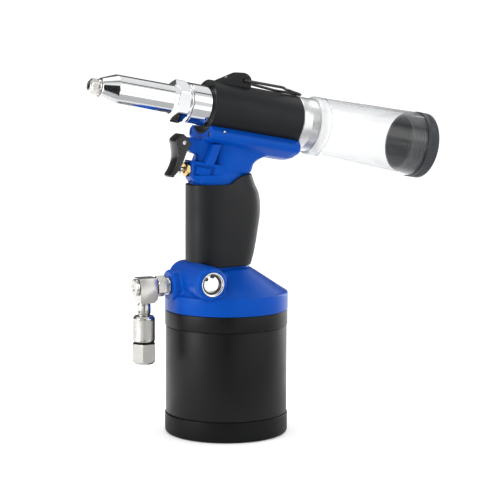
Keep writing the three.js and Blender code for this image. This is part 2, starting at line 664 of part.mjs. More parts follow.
function hoseCoupling() {
  const envelope = turned([
    [0, COUPLING_BOTTOM], [7.2, COUPLING_BOTTOM], [9.9, COUPLING_BOTTOM + 2.6], [9.9, COUPLING_TOP - 0.8],
    [9, COUPLING_TOP], [0, COUPLING_TOP],
  ]);
  const nut = hexagon(17, COUPLING_BOTTOM, COUPLING_TOP, THREE.MathUtils.degToRad(FRONT_ANGLE + 30))
    .intersect(envelope);
  return nut.add(rod(6.4, COUPLING_TOP - 1, 95))
    .subtract(rod(4.9, 72, 97))
    .subtract(rod(2.5, 68, 73))
    .subtract(rod(SOCKET_RADIUS, COUPLING_BOTTOM - 1, 70));
}

piece('inlet_adapter', inletAdapter(), NICKEL, inlet);
piece('swivel_block', swivelBlock(), NICKEL, tool);
piece('swivel_cap', turned([
  [0, BLOCK.far + 2 * GAP], [6.6, BLOCK.far + 2 * GAP], [6.6, BLOCK.far + 2.4], [5.8, BLOCK.far + 3.2],
  [2.2, BLOCK.far + 3.2], [2.2, BLOCK.far + 2.2], [0, BLOCK.far + 2.2],
], SMALL), NICKEL, inlet);
piece('outlet_stub', outletStub(), NICKEL, drop);
piece('knurled_sleeve', knurledSleeve(), NICKEL, drop);
piece('sleeve_seal', tube(6.7, 8, COUPLING_TOP + GAP, SLEEVE_BOTTOM - GAP, SMALL), SEAL, drop);
piece('hose_coupling', hoseCoupling(), NICKEL, drop);

// ---- Barrel: hydraulic cylinder, shroud and hanger -----------------------------------------

const CYLINDER_REAR = -57.4;
const CHAMBER_RADIUS = 15.5;
const SNOUT_RADIUS = 16;
const SNOUT_END = 36;
const NOSE_THREAD = 13.5;
const FRONT_WALL = [1, 12];

function hydraulicCylinder() {
  const shell = ringProfile([
    [CHAMBER_RADIUS, CYLINDER_REAR], [CYLINDER_RADIUS, CYLINDER_REAR], [CYLINDER_RADIUS, CYLINDER_FRONT],
    [SNOUT_RADIUS, CYLINDER_FRONT], [SNOUT_RADIUS, SNOUT_END], [NOSE_THREAD, SNOUT_END],
    [NOSE_THREAD, 45.5], [9.5, 45.5], [9.5, FRONT_WALL[1]], [8.3, FRONT_WALL[1]], [8.3, FRONT_WALL[0]],
    [CHAMBER_RADIUS, FRONT_WALL[0]],
  ]);
  return shell.subtract(intoBarrel(turnedGeometry(rodPoints(OIL_PASSAGE, 228, 245), 12)));
}

// The shroud has a lip that closes the gap round the snout, and a lug on top.
function shroud() {
  const inner = SHROUD_RADIUS - SHROUD_WALL;
  const lip = [CYLINDER_FRONT + GAP, SHROUD_FRONT - 0.8];
  const skin = rod(SHROUD_RADIUS, SHROUD_REAR, SHROUD_FRONT, ROUND);
  const lug = solid(plateGeometry([
    [16, -14.2], [25.5, -14.2], [28.4, -12.8], [30.6, -9.8], [31.2, -6.4], [30.4, -3], [20.4, 14], [16, 14],
  ], 14));
  const pivot = turnedGeometry(rodPoints(1.6, -10, 10), 12).rotateX(Math.PI / 2);
  return skin.add(lug)
    .subtract(rod(inner, SHROUD_REAR - 1, lip[0], ROUND))
    .subtract(rod(SNOUT_RADIUS + GAP, lip[0] - 1, lip[1] + 1, ROUND))
    .subtract(rod(inner, lip[1], SHROUD_FRONT + 1, ROUND))
    .subtract(intoBarrel(turnedGeometry(rodPoints(9.8, 215, 245), SMALL)))
    .subtract(solid(pivot.translate(HANGER_H, 0, HANGER_S)))
    .subtract(onLugSlope(rodPoints(1.6, -3, 1)));
}

// Turned parts set square into the lug's front slope.
const onLugSlope = (points) => solid(turnedGeometry(points, 12).rotateY(THREE.MathUtils.degToRad(59.5))
  .translate(25.3, 0, 5.6));

// Wire hanger: two bent arms from the lug, drawn in to a narrow eye at the end.
function hanger() {
  const corners = [
    [HANGER_H, -2.6, HANGER_S], [HANGER_H, -8.8, HANGER_S], [25.2, -8.4, -41.2], [24.2, -4.4, -47],
    [22.4, -4.3, -60.4], [22.4, 4.3, -60.4], [22.6, 4.4, -50.5], [22.5, 8.4, -44.2],
    [HANGER_H, 8.8, HANGER_S], [HANGER_H, 2.6, HANGER_S],
  ].map((point) => new THREE.Vector3(...point));
  return wire(roundedPath(corners, 2.2), 1.15, 66, 6);
}

piece('hydraulic_cylinder', hydraulicCylinder(), CHROME, barrel);
piece('shroud', shroud(), BLACK_PLASTIC, barrel);
piece('hanger', hanger(), SEAL, barrel);
piece('lug_pin', onLugSlope([[0, -2.7], [1.3, -2.7], [1.3, 0.1], [0.9, 0.5], [0, 0.5]]), STEEL, barrel);
piece('bleed_screw', solid(alongSide(turnedGeometry([
  [0, 16.9], [1, 16.9], [1, 20.9], [0.6, 21.4], [0, 21.4],
], 12))), STEEL, barrel);
for (const [index, side] of [-1, 1].entries()) {
  const screw = turned([
    [0, SHROUD_FRONT - 6.6], [1.5, SHROUD_FRONT - 6.6], [1.5, SHROUD_FRONT - 3], [2.1, SHROUD_FRONT - 3],
    [2.1, SHROUD_FRONT - 0.8], [0, SHROUD_FRONT - 0.8],
  ], 16).subtract(hexagon(2, SHROUD_FRONT - 2, SHROUD_FRONT));
  piece(`saddle_screw_${index + 1}`, screw.translate([SCREW_H, side * SCREW_Y, 0]), STEEL, barrel);
}

// ---- Nose ----------------------------------------------------------------------------------

const NOSE_RADIUS = 12;
const NOSE_CONE = 96.5;
const NOSE_FRONT = 108.6;
const HEX_FRONT = 50.5;

function noseSleeve() {
  const hexRear = SNOUT_END + GAP + 2.2;
  const nut = hexagon(29, hexRear, HEX_FRONT, Math.PI / 6).intersect(turned([
    [0, hexRear], [15.6, hexRear], [16.5, hexRear + 1.4], [16.5, HEX_FRONT - 3], [12.6, HEX_FRONT],
    [0, HEX_FRONT],
  ]));
  const skin = turned([
    [0, SNOUT_END + GAP], [15.4, SNOUT_END + GAP], [16, SNOUT_END + 0.8], [16, hexRear - 0.6],
    [15.2, hexRear], [15.2, hexRear + 0.4], [NOSE_RADIUS, hexRear + 0.4], [NOSE_RADIUS, NOSE_CONE],
    [7.4, NOSE_FRONT], [0, NOSE_FRONT],
  ]);
  return skin.add(nut)
    .subtract(rod(NOSE_THREAD + GAP, 30, 46, ROUND))
    .subtract(rod(9.3, 45, 96.4, SMALL))
    .subtract(rod(5.5, 90, 120, SMALL));
}

function nosepiece() {
  const bore = turned([
    [0, 90], [3.2, 90], [3.2, 100], [1.8, 104], [1.8, 120], [0, 120],
  ], SMALL);
  const stem = rod(5.2, 93, 110);
  const flange = turned([
    [0, NOSE_FRONT + GAP], [6.3, NOSE_FRONT + GAP], [6.3, 110.4], [5.8, 110.9], [0, 110.9],
  ], SMALL);
  const nut = hexagon(10.4, 110.4, 115.4, Math.PI / 6);
  const tip = turned([[0, 114], [5.2, 114], [4.9, 116], [3.6, 117.5], [0, 117.5]], SMALL);
  return stem.add(flange).add(nut).add(tip).subtract(bore);
}

piece('nose_sleeve', noseSleeve(), CHROME, barrel);
piece('nosepiece', nosepiece(), NICKEL, barrel);

// ---- Pulling head: piston, jaw case and jaws -----------------------------------------------

const ROD_RADIUS = 8;
const ROD_BORE = 3.2;
const CASE_REAR = 40.6;
const CASE_FRONT = 92;
const CONE_START = 78;
const CONE_WIDE = 6.9;
const CONE_NARROW = 3.9;

function pullPiston() {
  return ringProfile([
    [ROD_BORE, -62], [5.8, -62], [5.8, -16], [15.2, -16], [15.2, -13.4], [12.9, -13.4], [12.9, -10.6],
    [15.2, -10.6], [15.2, -7], [ROD_RADIUS, -6.6], [ROD_RADIUS, 40.2], [6, 40.2], [6, 50], [ROD_BORE, 50],
  ], INNER);
}

function jawCase() {
  return ringProfile([
    [6.3, CASE_REAR], [8.6, CASE_REAR], [8.6, CASE_FRONT - 1], [7.8, CASE_FRONT], [CONE_NARROW, CASE_FRONT],
    [CONE_WIDE, CONE_START], [CONE_WIDE, 50.6], [6.3, 50.6],
  ], INNER);
}

// One of three jaws: a third of a toothed cone, less the slits between the jaws.
function jaw(turn) {
  const cone = ringProfile([
    [1.7, 76.2], [CONE_WIDE - 0.6, 76.2], [CONE_WIDE - 0.6, CONE_START], [CONE_NARROW, 90.6], [1.7, 90.6],
  ], INNER);
  const reach = 12;
  const slit = 0.35;
  const third = new THREE.Shape([[slit * 2, 0], ...arc(slit * 2, 0, reach, -58, 58, 4)]
    .map(([x, y]) => new THREE.Vector2(x, y)));
  const sector = new THREE.ExtrudeGeometry(third, { depth: 20, bevelEnabled: false }).translate(0, 0, 75);
  return cone.intersect(solid(sector.rotateZ(turn)));
}

piece('pull_piston', pullPiston(), STEEL, barrel);
piece('pull_piston_seal', tube(12.9 + GAP, CHAMBER_RADIUS - 0.2, -13.1, -10.9, INNER), SEAL, barrel);
piece('return_spring', spring(11.6, 1, -47, -16.4, 5), STEEL, barrel);
piece('jaw_case', jawCase(), STEEL, barrel);
for (let i = 0; i < 3; i++) piece(`jaw_${i + 1}`, jaw((i * 2 * Math.PI) / 3), STEEL, barrel);
piece('jaw_pusher', ringProfile([
  [2.3, 62], [6.3, 62], [6.3, 64], [5.4, 64], [5.4, 73.4], [3.4, 75.8], [2.3, 75.8],
], INNER), BRASS, barrel);
piece('jaw_spring', spring(4.9, 0.6, 51, 61.6, 4), STEEL, barrel);
piece('cylinder_end_cap', ringProfile([
  [6.2, CYLINDER_REAR], [15.2, CYLINDER_REAR], [15.2, -47.3], [6.2, -47.3],
], INNER), STEEL, barrel);

// ---- Mandrel bottle ------------------------------------------------------------------------

const ADAPTER_FRONT = -58;
const ADAPTER_STEP = -73;
const BOTTLE_REAR = -172;
const CAP_REAR = -182.9;

// The profile runs from the rear to the front, so it turns outside in.
function bottleAdapter() {
  return ringProfile([
    [16.6, -81], [20.2, -81], [20.2, ADAPTER_STEP], [20.9, ADAPTER_STEP], [20.9, -70.8], [20.5, -70.4],
    [20.9, -70], [20.9, -68.2], [20.5, -67.8], [20.9, -67.4], [20.9, -65.6], [20.5, -65.2],
    [SHROUD_RADIUS, -65], [SHROUD_RADIUS, ADAPTER_FRONT], [6.6, ADAPTER_FRONT], [6.6, -63], [16.6, -66],
  ]);
}

function bottle() {
  return ringProfile([
    [24.2, BOTTLE_REAR], [26.3, BOTTLE_REAR], [23.5, -86], [23.5, -79], [23.4, -75],
    [22.6, ADAPTER_STEP - GAP], [20.6, ADAPTER_STEP - GAP], [20.6, -83], [21.4, -86],
  ]);
}

function bottleCap() {
  return turned([
    [0, CAP_REAR], [25.8, CAP_REAR], [26.8, CAP_REAR + 1], [26.9, BOTTLE_REAR - GAP - 0.4],
    [26.2, BOTTLE_REAR - GAP], [23.7, BOTTLE_REAR - GAP], [23.3, -160.6], [22.8, -160], [20.2, -160],
    [20.2, -179.6], [0, -179.6],
  ]);
}

piece('bottle_adapter', bottleAdapter(), ALUMINIUM, barrel);
piece('bottle', bottle(), CLEAR, barrel);
piece('bottle_cap', bottleCap(), BLACK_PLASTIC, barrel);

export default tool;
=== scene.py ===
"""Looks for the air-hydraulic rivet gun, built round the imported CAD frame.

Shapes are made in millimetres in a few local frames, such as the barrel's, and end up in metres
in the row frame. Sizes come from the CAD nodes that the pieces stand for.
"""

import json
import math

import bmesh
import bpy
from mathutils import Matrix, Vector


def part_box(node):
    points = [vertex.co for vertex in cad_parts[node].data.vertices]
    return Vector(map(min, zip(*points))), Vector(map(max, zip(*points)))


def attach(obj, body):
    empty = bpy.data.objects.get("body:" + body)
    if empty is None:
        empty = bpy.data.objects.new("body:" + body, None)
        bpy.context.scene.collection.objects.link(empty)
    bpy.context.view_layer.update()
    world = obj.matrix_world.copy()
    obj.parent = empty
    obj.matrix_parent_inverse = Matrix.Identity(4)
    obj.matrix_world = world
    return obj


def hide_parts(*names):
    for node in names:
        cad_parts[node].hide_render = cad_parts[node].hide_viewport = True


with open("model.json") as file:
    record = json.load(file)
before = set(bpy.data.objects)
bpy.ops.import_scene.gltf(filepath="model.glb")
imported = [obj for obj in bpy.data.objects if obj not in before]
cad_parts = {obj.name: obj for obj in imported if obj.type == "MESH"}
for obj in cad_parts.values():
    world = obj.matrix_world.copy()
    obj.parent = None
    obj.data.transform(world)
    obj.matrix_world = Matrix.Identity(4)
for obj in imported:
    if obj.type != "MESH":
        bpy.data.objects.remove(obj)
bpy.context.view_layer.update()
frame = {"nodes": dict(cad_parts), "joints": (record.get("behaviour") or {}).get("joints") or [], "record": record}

MM = 0.001
TAU = 2 * math.pi
HEX_PHASE = math.pi / 6
UP, ACROSS = Vector((0, 0, 1)), Vector((0, 1, 0))


# ---- Frames, in millimetres, from the CAD model

joints = {joint["name"]: joint for joint in frame["joints"]}
node_slots = {part["node"]: part["material_slot"] for part in frame["record"]["subparts"]}


def frame_at(x_axis, y_axis, z_axis, origin):
    """A matrix whose columns are three axes and an origin in millimetres."""
    rotation = Matrix((x_axis, y_axis, z_axis)).transposed().to_4x4()
    return Matrix.Translation(origin) @ rotation


def pivot(name):
    """A joint's place in millimetres."""
    return Vector(joints[name]["pos_m"]) / MM


def middle(node):
    """The centre of a CAD node's box in millimetres."""
    low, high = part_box(node)
    return (low + high) / 2 / MM


forward = -Vector(joints["bottle_thread"]["axis"]).normalized()
axis_point = pivot("bottle_thread")
axis_start = axis_point - forward * (axis_point.x / forward.x)
tilt = math.atan2(forward.z, -forward.x)

ROW = Matrix.Identity(4)
SWAP = Matrix(((0, 0, 1, 0), (0, 1, 0, 0), (1, 0, 0, 0), (0, 0, 0, 1)))  # trades X and Z
BARREL = frame_at(ACROSS.cross(forward), ACROSS, forward, axis_start)
LEFTWARDS = Vector((-1, 0, 0))
INLET = frame_at(UP, ACROSS, LEFTWARDS, Vector((0, 0, pivot("inlet_swivel").z)))
STEM = frame_at(UP, ACROSS, LEFTWARDS, Vector((0, 0, middle("trigger_valve_body").z)))
plug = middle("valve_bezel")
VALVE = frame_at(-LEFTWARDS, UP, -ACROSS, Vector((plug.x, 0, plug.z)))
drop_point = pivot("coupling_spin")
DROP = Matrix.Translation((drop_point.x, drop_point.y, 0))
TRIGGER = pivot("trigger_hinge")
bleed = BARREL.inverted() @ middle("bleed_screw")
BLEED = (BARREL @ Matrix.Translation((bleed.x, 0, bleed.z))
         @ Matrix.Rotation(math.pi / 2, 4, "X"))


def size(node, place=ROW):
    """A CAD node's largest radius about a frame's Z axis, and its ends along it, in mm."""
    inverse = place.inverted()
    points = [inverse @ (vertex.co / MM) for vertex in frame["nodes"][node].data.vertices]
    heights = [point.z for point in points]
    return max(point.xy.length for point in points), min(heights), max(heights)


# ---- Mesh building, in millimetres


def soften(profile, radius=0.5, steps=3):
    """Rounds the corners of a (radius, height) profile. A third value is that corner's own size."""
    closed = profile[0][:2] == profile[-1][:2]
    corners = profile[:-1] if closed else profile
    count = len(corners)
    rounded = []
    for i, corner in enumerate(corners):
        here = Vector(corner[:2])
        if not closed and i in (0, count - 1):
            rounded.append(tuple(here))
            continue
        before = Vector(corners[i - 1][:2]) - here
        after = Vector(corners[(i + 1) % count][:2]) - here
        own = corner[2] if len(corner) > 2 else radius
        reach = min(own, 0.45 * before.length, 0.45 * after.length)
        if reach < 0.02:
            rounded.append(tuple(here))
            continue
        start = here + before.normalized() * reach
        end = here + after.normalized() * reach
        for step in range(steps + 1):
            t = step / steps
            point = start * (1 - t) ** 2 + here * 2 * t * (1 - t) + end * t * t
            rounded.append(tuple(point))
    return rounded + [rounded[0]] if closed else rounded


def turned(profile, sides=96, limit=None):
    """A (radius, height) profile turned about Z. limit(radius, angle, height) may pull it in."""
    closed = profile[0] == profile[-1]
    verts, rings = [], []
    for radius, height in profile[:-1] if closed else profile:
        if radius < 1e-6:
            rings.append([len(verts)] * sides)
            verts.append((0, 0, height))
            continue
        rings.append(list(range(len(verts), len(verts) + sides)))
        for i in range(sides):
            angle = TAU * i / sides
            reach = limit(radius, angle, height) if limit else radius
            verts.append((reach * math.cos(angle), reach * math.sin(angle), height))
    if closed:
        rings.append(rings[0])
    faces = []
    for low, high in zip(rings, rings[1:]):
        for i in range(sides):
            j = (i + 1) % sides
            corners = dict.fromkeys((low[i], low[j], high[j], high[i]))
            if len(corners) > 2:
                faces.append(tuple(corners))
    return verts, faces


def tube(inner, outer, low, high, edge=0.4, sides=96):
    """A ring with a rectangular section and softened edges."""
    ring = [(inner, low), (outer, low), (outer, high), (inner, high), (inner, low)]
    return turned(soften(ring, edge), sides)


def rod(radius, low, high, edge=0.3, sides=48):
    """A round bar about Z, also used as a drill."""
    return turned(soften([(0, low), (radius, low), (radius, high), (0, high)], edge), sides)


def hexed(across_flats, low, high=math.inf, phase=HEX_PHASE):
    """A limit for turned() that leaves a hexagon between two heights."""

    def limit(radius, angle, height):
        if not low <= height <= high:
            return radius
        turn = (angle - phase + TAU / 12) % (TAU / 6) - TAU / 12
        return min(radius, across_flats / 2 / math.cos(turn))

    return limit


def densely(profile, step):
    """Adds points along a profile's straight runs, no further apart than the step."""
    points = [profile[0]]
    for start, end in zip(profile, profile[1:]):
        count = max(1, math.ceil((Vector(end) - Vector(start)).length / step))
        for i in range(1, count + 1):
            points.append(tuple(Vector(start).lerp(Vector(end), i / count)))
    return points


def loft(rings, caps=True):
    """A skin over rings of points, with a fan over each end."""
    count = len(rings[0])
    verts = [tuple(point) for ring in rings for point in ring]
    faces = []
    for base in range(0, len(verts) - count, count):
        for i in range(count):
            j = (i + 1) % count
            faces.append((base + i, base + j, base + count + j, base + count + i))
    if caps:
        for ring, base in ((rings[0], 0), (rings[-1], len(verts) - count)):
            hub = len(verts)
            verts.append(tuple(sum((Vector(point) for point in ring), Vector()) / count))
            faces += [(base + i, base + (i + 1) % count, hub) for i in range(count)]
    return verts, faces


def oval(z, front, rear, half, power=2.4, sides=96):
    """A level ring between two x positions: an ellipse squared off by the power."""
    ring = []
    for i in range(sides):
        c, s = math.cos(TAU * i / sides), math.sin(TAU * i / sides)
        x = (front + rear) / 2 + (rear - front) / 2 * math.copysign(abs(c) ** (2 / power), c)
        ring.append((x, half * math.copysign(abs(s) ** (2 / power), s), z))
    return ring


def smooth_path(points, per_span):
    """A Catmull-Rom curve through points of any dimension."""
    points = [Vector(point) for point in points]
    padded = [points[0] * 2 - points[1], *points, points[-1] * 2 - points[-2]]
    path = []
    for a, b, c, d in zip(padded, padded[1:], padded[2:], padded[3:]):
        for i in range(per_span):
            t = i / per_span
            path.append(0.5 * (2 * b + (c - a) * t + (2 * a - 5 * b + 4 * c - d) * t * t
                               + (3 * b - a - 3 * c + d) * t ** 3))
    return path + [points[-1]]


def rounded_path(corners, radius, steps=8):
    """Straight runs between corner points, with rounded corners."""
    corners = [Vector(corner) for corner in corners]
    path = [corners[0]]
    for before, here, after in zip(corners, corners[1:], corners[2:]):
        start = here + (before - here).normalized() * radius
        end = here + (after - here).normalized() * radius
        for i in range(steps + 1):
            t = i / steps
            path.append(start * (1 - t) ** 2 + here * 2 * t * (1 - t) + end * t * t)
    return path + [corners[-1]]


def wire(path, radius, sides=16):
    """A round bar along a path, its ends slightly rounded."""
    rings = []
    tangents = [(b - a).normalized() for a, b in zip(path, path[1:])]
    normal = tangents[0].orthogonal().normalized()
    for i, point in enumerate(path):
        along = tangents[min(i, len(tangents) - 1)] + tangents[max(i - 1, 0)]
        along.normalize()
        normal = (normal - along * normal.dot(along)).normalized()
        side = along.cross(normal)
        rings.append([point + radius * (normal * math.cos(TAU * k / sides)
                                        + side * math.sin(TAU * k / sides)) for k in range(sides)])
    for end, hub, along in ((0, path[0], -tangents[0]), (-1, path[-1], tangents[-1])):
        tip = [hub + (point - hub) * 0.6 + along * radius * 0.35 for point in rings[end]]
        rings.insert(0 if end == 0 else len(rings), tip)
    return loft(rings)


def plate(outline, low, high):
    """A closed (x, z) outline between two y positions."""
    count = len(outline)
    verts = [(x, y, z) for y in (low, high) for x, z in outline]
    faces = [tuple(range(count)), tuple(range(count, 2 * count))]
    faces += [(i, (i + 1) % count, count + (i + 1) % count, count + i) for i in range(count)]
    return verts, faces


def swap_plate(outline, low, high):
    """An (x, y) outline between two heights."""
    verts, faces = plate(outline, low, high)
    return [(x, z, y) for x, y, z in verts], faces


def block(x, y, z):
    """A box between pairs of x, y and z."""
    return plate([(x[0], z[0]), (x[1], z[0]), (x[1], z[1]), (x[0], z[1])], *y)


def across(shape, x=0.0, z=0.0):
    """Turns a shape made about Z so that it lies along Y, at an x and z."""
    verts, faces = shape
    return [(px + x, pz, z - py) for px, py, pz in verts], faces


def moved(shape, matrix):
    """A shape taken through a matrix."""
    verts, faces = shape
    return [tuple(matrix @ Vector(vert)) for vert in verts], faces


# ---- Objects


def solid(*shapes, place=ROW):
    """A temporary object in millimetres in the row frame, from shapes in a local frame."""
    bm = bmesh.new()
    for verts, faces in shapes:
        made = [bm.verts.new(place @ Vector(vert)) for vert in verts]
        for face in faces:
            bm.faces.new([made[i] for i in face])
    bmesh.ops.recalc_face_normals(bm, faces=bm.faces)
    mesh = bpy.data.meshes.new("shape")
    bm.to_mesh(mesh)
    bm.free()
    obj = bpy.data.objects.new("shape", mesh)
    bpy.context.scene.collection.objects.link(obj)
    return obj


def lathed(profile, edge, sides=96, place=ROW, steps=3, spacing=None, limit=None):
    """A turned object with softened corners. A spacing adds points for the limit to work on."""
    profile = soften(profile, edge, steps)
    if spacing:
        profile = densely(profile, spacing)
    return solid(turned(profile, sides, limit), place=place)


def apply_modifiers(obj):
    """Keeps the result of an object's modifiers as its mesh."""
    depsgraph = bpy.context.evaluated_depsgraph_get()
    mesh = bpy.data.meshes.new_from_object(obj.evaluated_get(depsgraph))
    obj.modifiers.clear()
    old, obj.data = obj.data, mesh
    bpy.data.meshes.remove(old)
    return obj


def combine(obj, tool, operation="DIFFERENCE", solver="MANIFOLD"):
    """A boolean with another temporary object, which is used up."""
    modifier = obj.modifiers.new("combine", "BOOLEAN")
    modifier.operation, modifier.object, modifier.solver = operation, tool, solver
    apply_modifiers(obj)
    bpy.data.objects.remove(tool)
    return obj


def cut(obj, *shapes, place=ROW):
    """Takes shapes in a local frame out of an object."""
    for shape in shapes:
        combine(obj, solid(shape, place=place))
    return obj


def fuse(obj, voxel, rounds):
    """Joins overlapping closed shells into one skin and melts their corners together."""
    remesh = obj.modifiers.new("fuse", "REMESH")
    remesh.mode, remesh.voxel_size = "VOXEL", voxel
    melt = obj.modifiers.new("melt", "SMOOTH")
    melt.factor, melt.iterations = 0.5, rounds
    return apply_modifiers(obj)


def bevel(obj, width, segments=2, angle=35):
    """Rounds the edges that are sharper than the angle in degrees."""
    modifier = obj.modifiers.new("bevel", "BEVEL")
    modifier.width, modifier.segments = width, segments
    modifier.limit_method, modifier.angle_limit = "ANGLE", math.radians(angle)
    return apply_modifiers(obj)


def dress(mesh, material, sharp):
    """Smooth shading between edges sharper than an angle in degrees, and the only material."""
    mesh.materials.clear()
    mesh.materials.append(material)
    for polygon in mesh.polygons:
        polygon.use_smooth = True
    mesh.set_sharp_from_angle(angle=math.radians(sharp))


def piece(name, obj, material, body, *nodes, sharp=38):
    """Finishes a temporary object: metres, look, the body it rides on, and its CAD nodes."""
    obj.name = obj.data.name = name
    obj.data.transform(Matrix.Scale(MM, 4))
    dress(obj.data, material, sharp)
    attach(obj, body)
    if nodes:
        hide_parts(*nodes)


# ---- Materials


class Nodes:
    """Short calls for the few shader nodes that the materials share."""

    def __init__(self, name):
        self.material = bpy.data.materials.new(name)
        self.material.use_nodes = True
        self.tree = self.material.node_tree
        self.shader = self.tree.nodes["Principled BSDF"]
        self.coordinates = self.tree.nodes.new("ShaderNodeTexCoord").outputs["Object"]

    def feed(self, node, inputs):
        """Links or sets a node's inputs, which go by name or number."""
        for key, value in inputs.items():
            socket = node.inputs[key.replace("_", " ") if isinstance(key, str) else key]
            if isinstance(value, bpy.types.NodeSocket):
                self.tree.links.new(value, socket)
            else:
                socket.default_value = value

    def node(self, kind, **inputs):
        made = self.tree.nodes.new("ShaderNode" + kind)
        self.feed(made, inputs)
        return made

    def math(self, operation, first, second, kind="Math"):
        """A number from two numbers, or from two vectors with the kind VectorMath."""
        made = self.node(kind)
        made.operation = operation
        self.feed(made, {0: first, 1: second})
        return made.outputs["Value"]

    def noise(self, scale, detail, roughness=0.5):
        return self.node("TexNoise", Vector=self.coordinates, Scale=scale, Detail=detail,
                         Roughness=roughness).outputs[0]

    def spread(self, value, low, high, start=0.3, end=0.7):
        """Maps a noise to a range of values."""
        return self.node("MapRange", Value=value, From_Min=start, From_Max=end, To_Min=low,
                         To_Max=high).outputs[0]

    def tint(self, value, first, second, start=0.3, end=0.7):
        """A colour between two, by a noise."""
        ramp = self.node("ValToRGB", Fac=value)
        for element, place, colour in zip(ramp.color_ramp.elements, (start, end), (first, second)):
            element.position, element.color = place, (*colour, 1)
        return ramp.outputs[0]

    def bump(self, height, depth, strength, normal=None):
        made = self.node("Bump", Height=height, Distance=depth, Strength=strength)
        if normal:
            self.tree.links.new(normal, made.inputs["Normal"])
        return made.outputs[0]

    def set(self, **inputs):
        """Fills in the shader, and gives back the finished material."""
        self.feed(self.shader, inputs)
        return self.material


def shade(colour, factor):
    return tuple(channel * factor for channel in colour)


def paint(name, colour):
    """Satin paint on a casting: faint orange peel, and slightly uneven colour and gloss."""
    n = Nodes(name)
    peel = n.bump(n.noise(900, 2), 0.00004, 0.25)
    cast = n.bump(n.noise(160, 3), 0.00012, 0.18, peel)
    return n.set(
        Base_Color=n.tint(n.noise(28, 4), shade(colour, 0.9), shade(colour, 1.08)),
        Roughness=n.spread(n.noise(60, 4), 0.26, 0.34), Normal=cast,
        Specular_IOR_Level=0.25, Specular_Tint=(0.3, 0.6, 1, 1))


def moulded(name, colour, roughness, grain_scale, grain, gloss=0.2, coat=0.0):
    """Moulded plastic or rubber: spark-eroded grain, and faint rubbed and dusty patches."""
    n = Nodes(name)
    fine = n.bump(n.noise(grain_scale, 2, 0.6), 0.00006, grain)
    wave = n.bump(n.noise(55, 3), 0.00025, 0.05, fine)
    speckle = n.tint(n.noise(grain_scale * 0.6, 1), shade(colour, 0.86), shade(colour, 1.18),
                     0.35, 0.68)
    return n.set(
        Base_Color=speckle, Roughness=n.spread(n.noise(42, 5), roughness - 0.05, roughness + 0.07),
        Normal=wave, Specular_IOR_Level=gloss, Coat_Weight=coat, Coat_Roughness=0.08)


def metal(name, colour, low, high, marks):
    """Bare or plated metal: fine machining marks, and handling haze in the roughness."""
    n = Nodes(name)
    lines = n.noise(700, 3, 0.6)
    haze = n.noise(70, 5, 0.6)
    return n.set(
        Base_Color=n.tint(haze, shade(colour, 0.94), colour, 0.25, 0.6), Metallic=1.0,
        Roughness=n.spread(haze, low, high), Normal=n.bump(lines, 0.00002, marks))


def clear(name, clearness=1.0):
    """Thin clear plastic: faint flow marks and haze, with painted shade where it is seen edge on."""
    n = Nodes(name)
    flow = n.bump(n.noise(35, 2, 0.5), 0.0002, 0.1)
    # painted shade: the colour greys from near white face on to mid grey edge on, standing in for the dark rims of
    # the clear wall
    edge = n.node("LayerWeight", Blend=0.5).outputs["Facing"]
    return n.set(
        Base_Color=n.tint(edge, (0.965, 0.97, 0.972), (0.5, 0.52, 0.535), 0.3, 0.97),
        Roughness=n.spread(n.noise(80, 4), 0.01, 0.05), Normal=flow,
        Transmission_Weight=clearness, IOR=1.12, Coat_Weight=0.6, Coat_Roughness=0.03)


BLUE = paint("blue_paint", (0.0003, 0.056, 0.36))
SLEEVE_BLACK = moulded("sleeve_black", (0.0036, 0.0038, 0.0042), 0.36, 2600, 0.15, 0.25)
CUP_BLACK = moulded("cup_rubber", (0.0035, 0.0038, 0.004), 0.42, 2200, 0.2, 0.16)
GRIP_BLACK = moulded("grip_rubber", (0.0075, 0.008, 0.0093), 0.42, 1900, 0.25, 0.28)
SHROUD_BLACK = moulded("shroud_black", (0.0085, 0.0092, 0.0106), 0.42, 2300, 0.15, 0.2)
TRIGGER_BLACK = moulded("trigger_black", (0.007, 0.0073, 0.008), 0.14, 1500, 0.05, 0.4, 0.3)
CAP_BLACK = moulded("cap_black", (0.03, 0.034, 0.039), 0.34, 2600, 0.015, 0.3)
WIRE_BLACK = moulded("wire_black", (0.012, 0.012, 0.013), 0.25, 2500, 0.15, 0.4, 0.3)
SEAL_BLACK = moulded("seal_black", (0.006, 0.006, 0.006), 0.45, 2500, 0.25)
CHROME = metal("chrome", (0.88, 0.89, 0.9), 0.04, 0.09, 0.02)
NICKEL = metal("nickel", (0.66, 0.645, 0.62), 0.16, 0.26, 0.06)
STEEL = metal("turned_steel", (0.6, 0.6, 0.61), 0.2, 0.34, 0.15)
ALUMINIUM = metal("turned_aluminium", (0.8, 0.805, 0.81), 0.3, 0.42, 0.12)
BRASS = metal("brass", (0.8, 0.58, 0.26), 0.16, 0.28, 0.08)
CLEAR = clear("clear_plastic")
BEAD = clear("hazy_plastic", 0.55)

SLOT_LOOKS = {
    "rubber": SLEEVE_BLACK, "grip": GRIP_BLACK, "blue": BLUE, "black_plastic": SHROUD_BLACK,
    "chrome": CHROME, "steel": STEEL, "nickel": NICKEL, "aluminium": ALUMINIUM, "brass": BRASS,
    "clear": CLEAR, "seal": SEAL_BLACK, "wire": WIRE_BLACK,
}
for name, slot in node_slots.items():
    dress(frame["nodes"][name].data, SLOT_LOOKS[slot], 30)


# ---- Base: rubber cup, black sleeve and top band

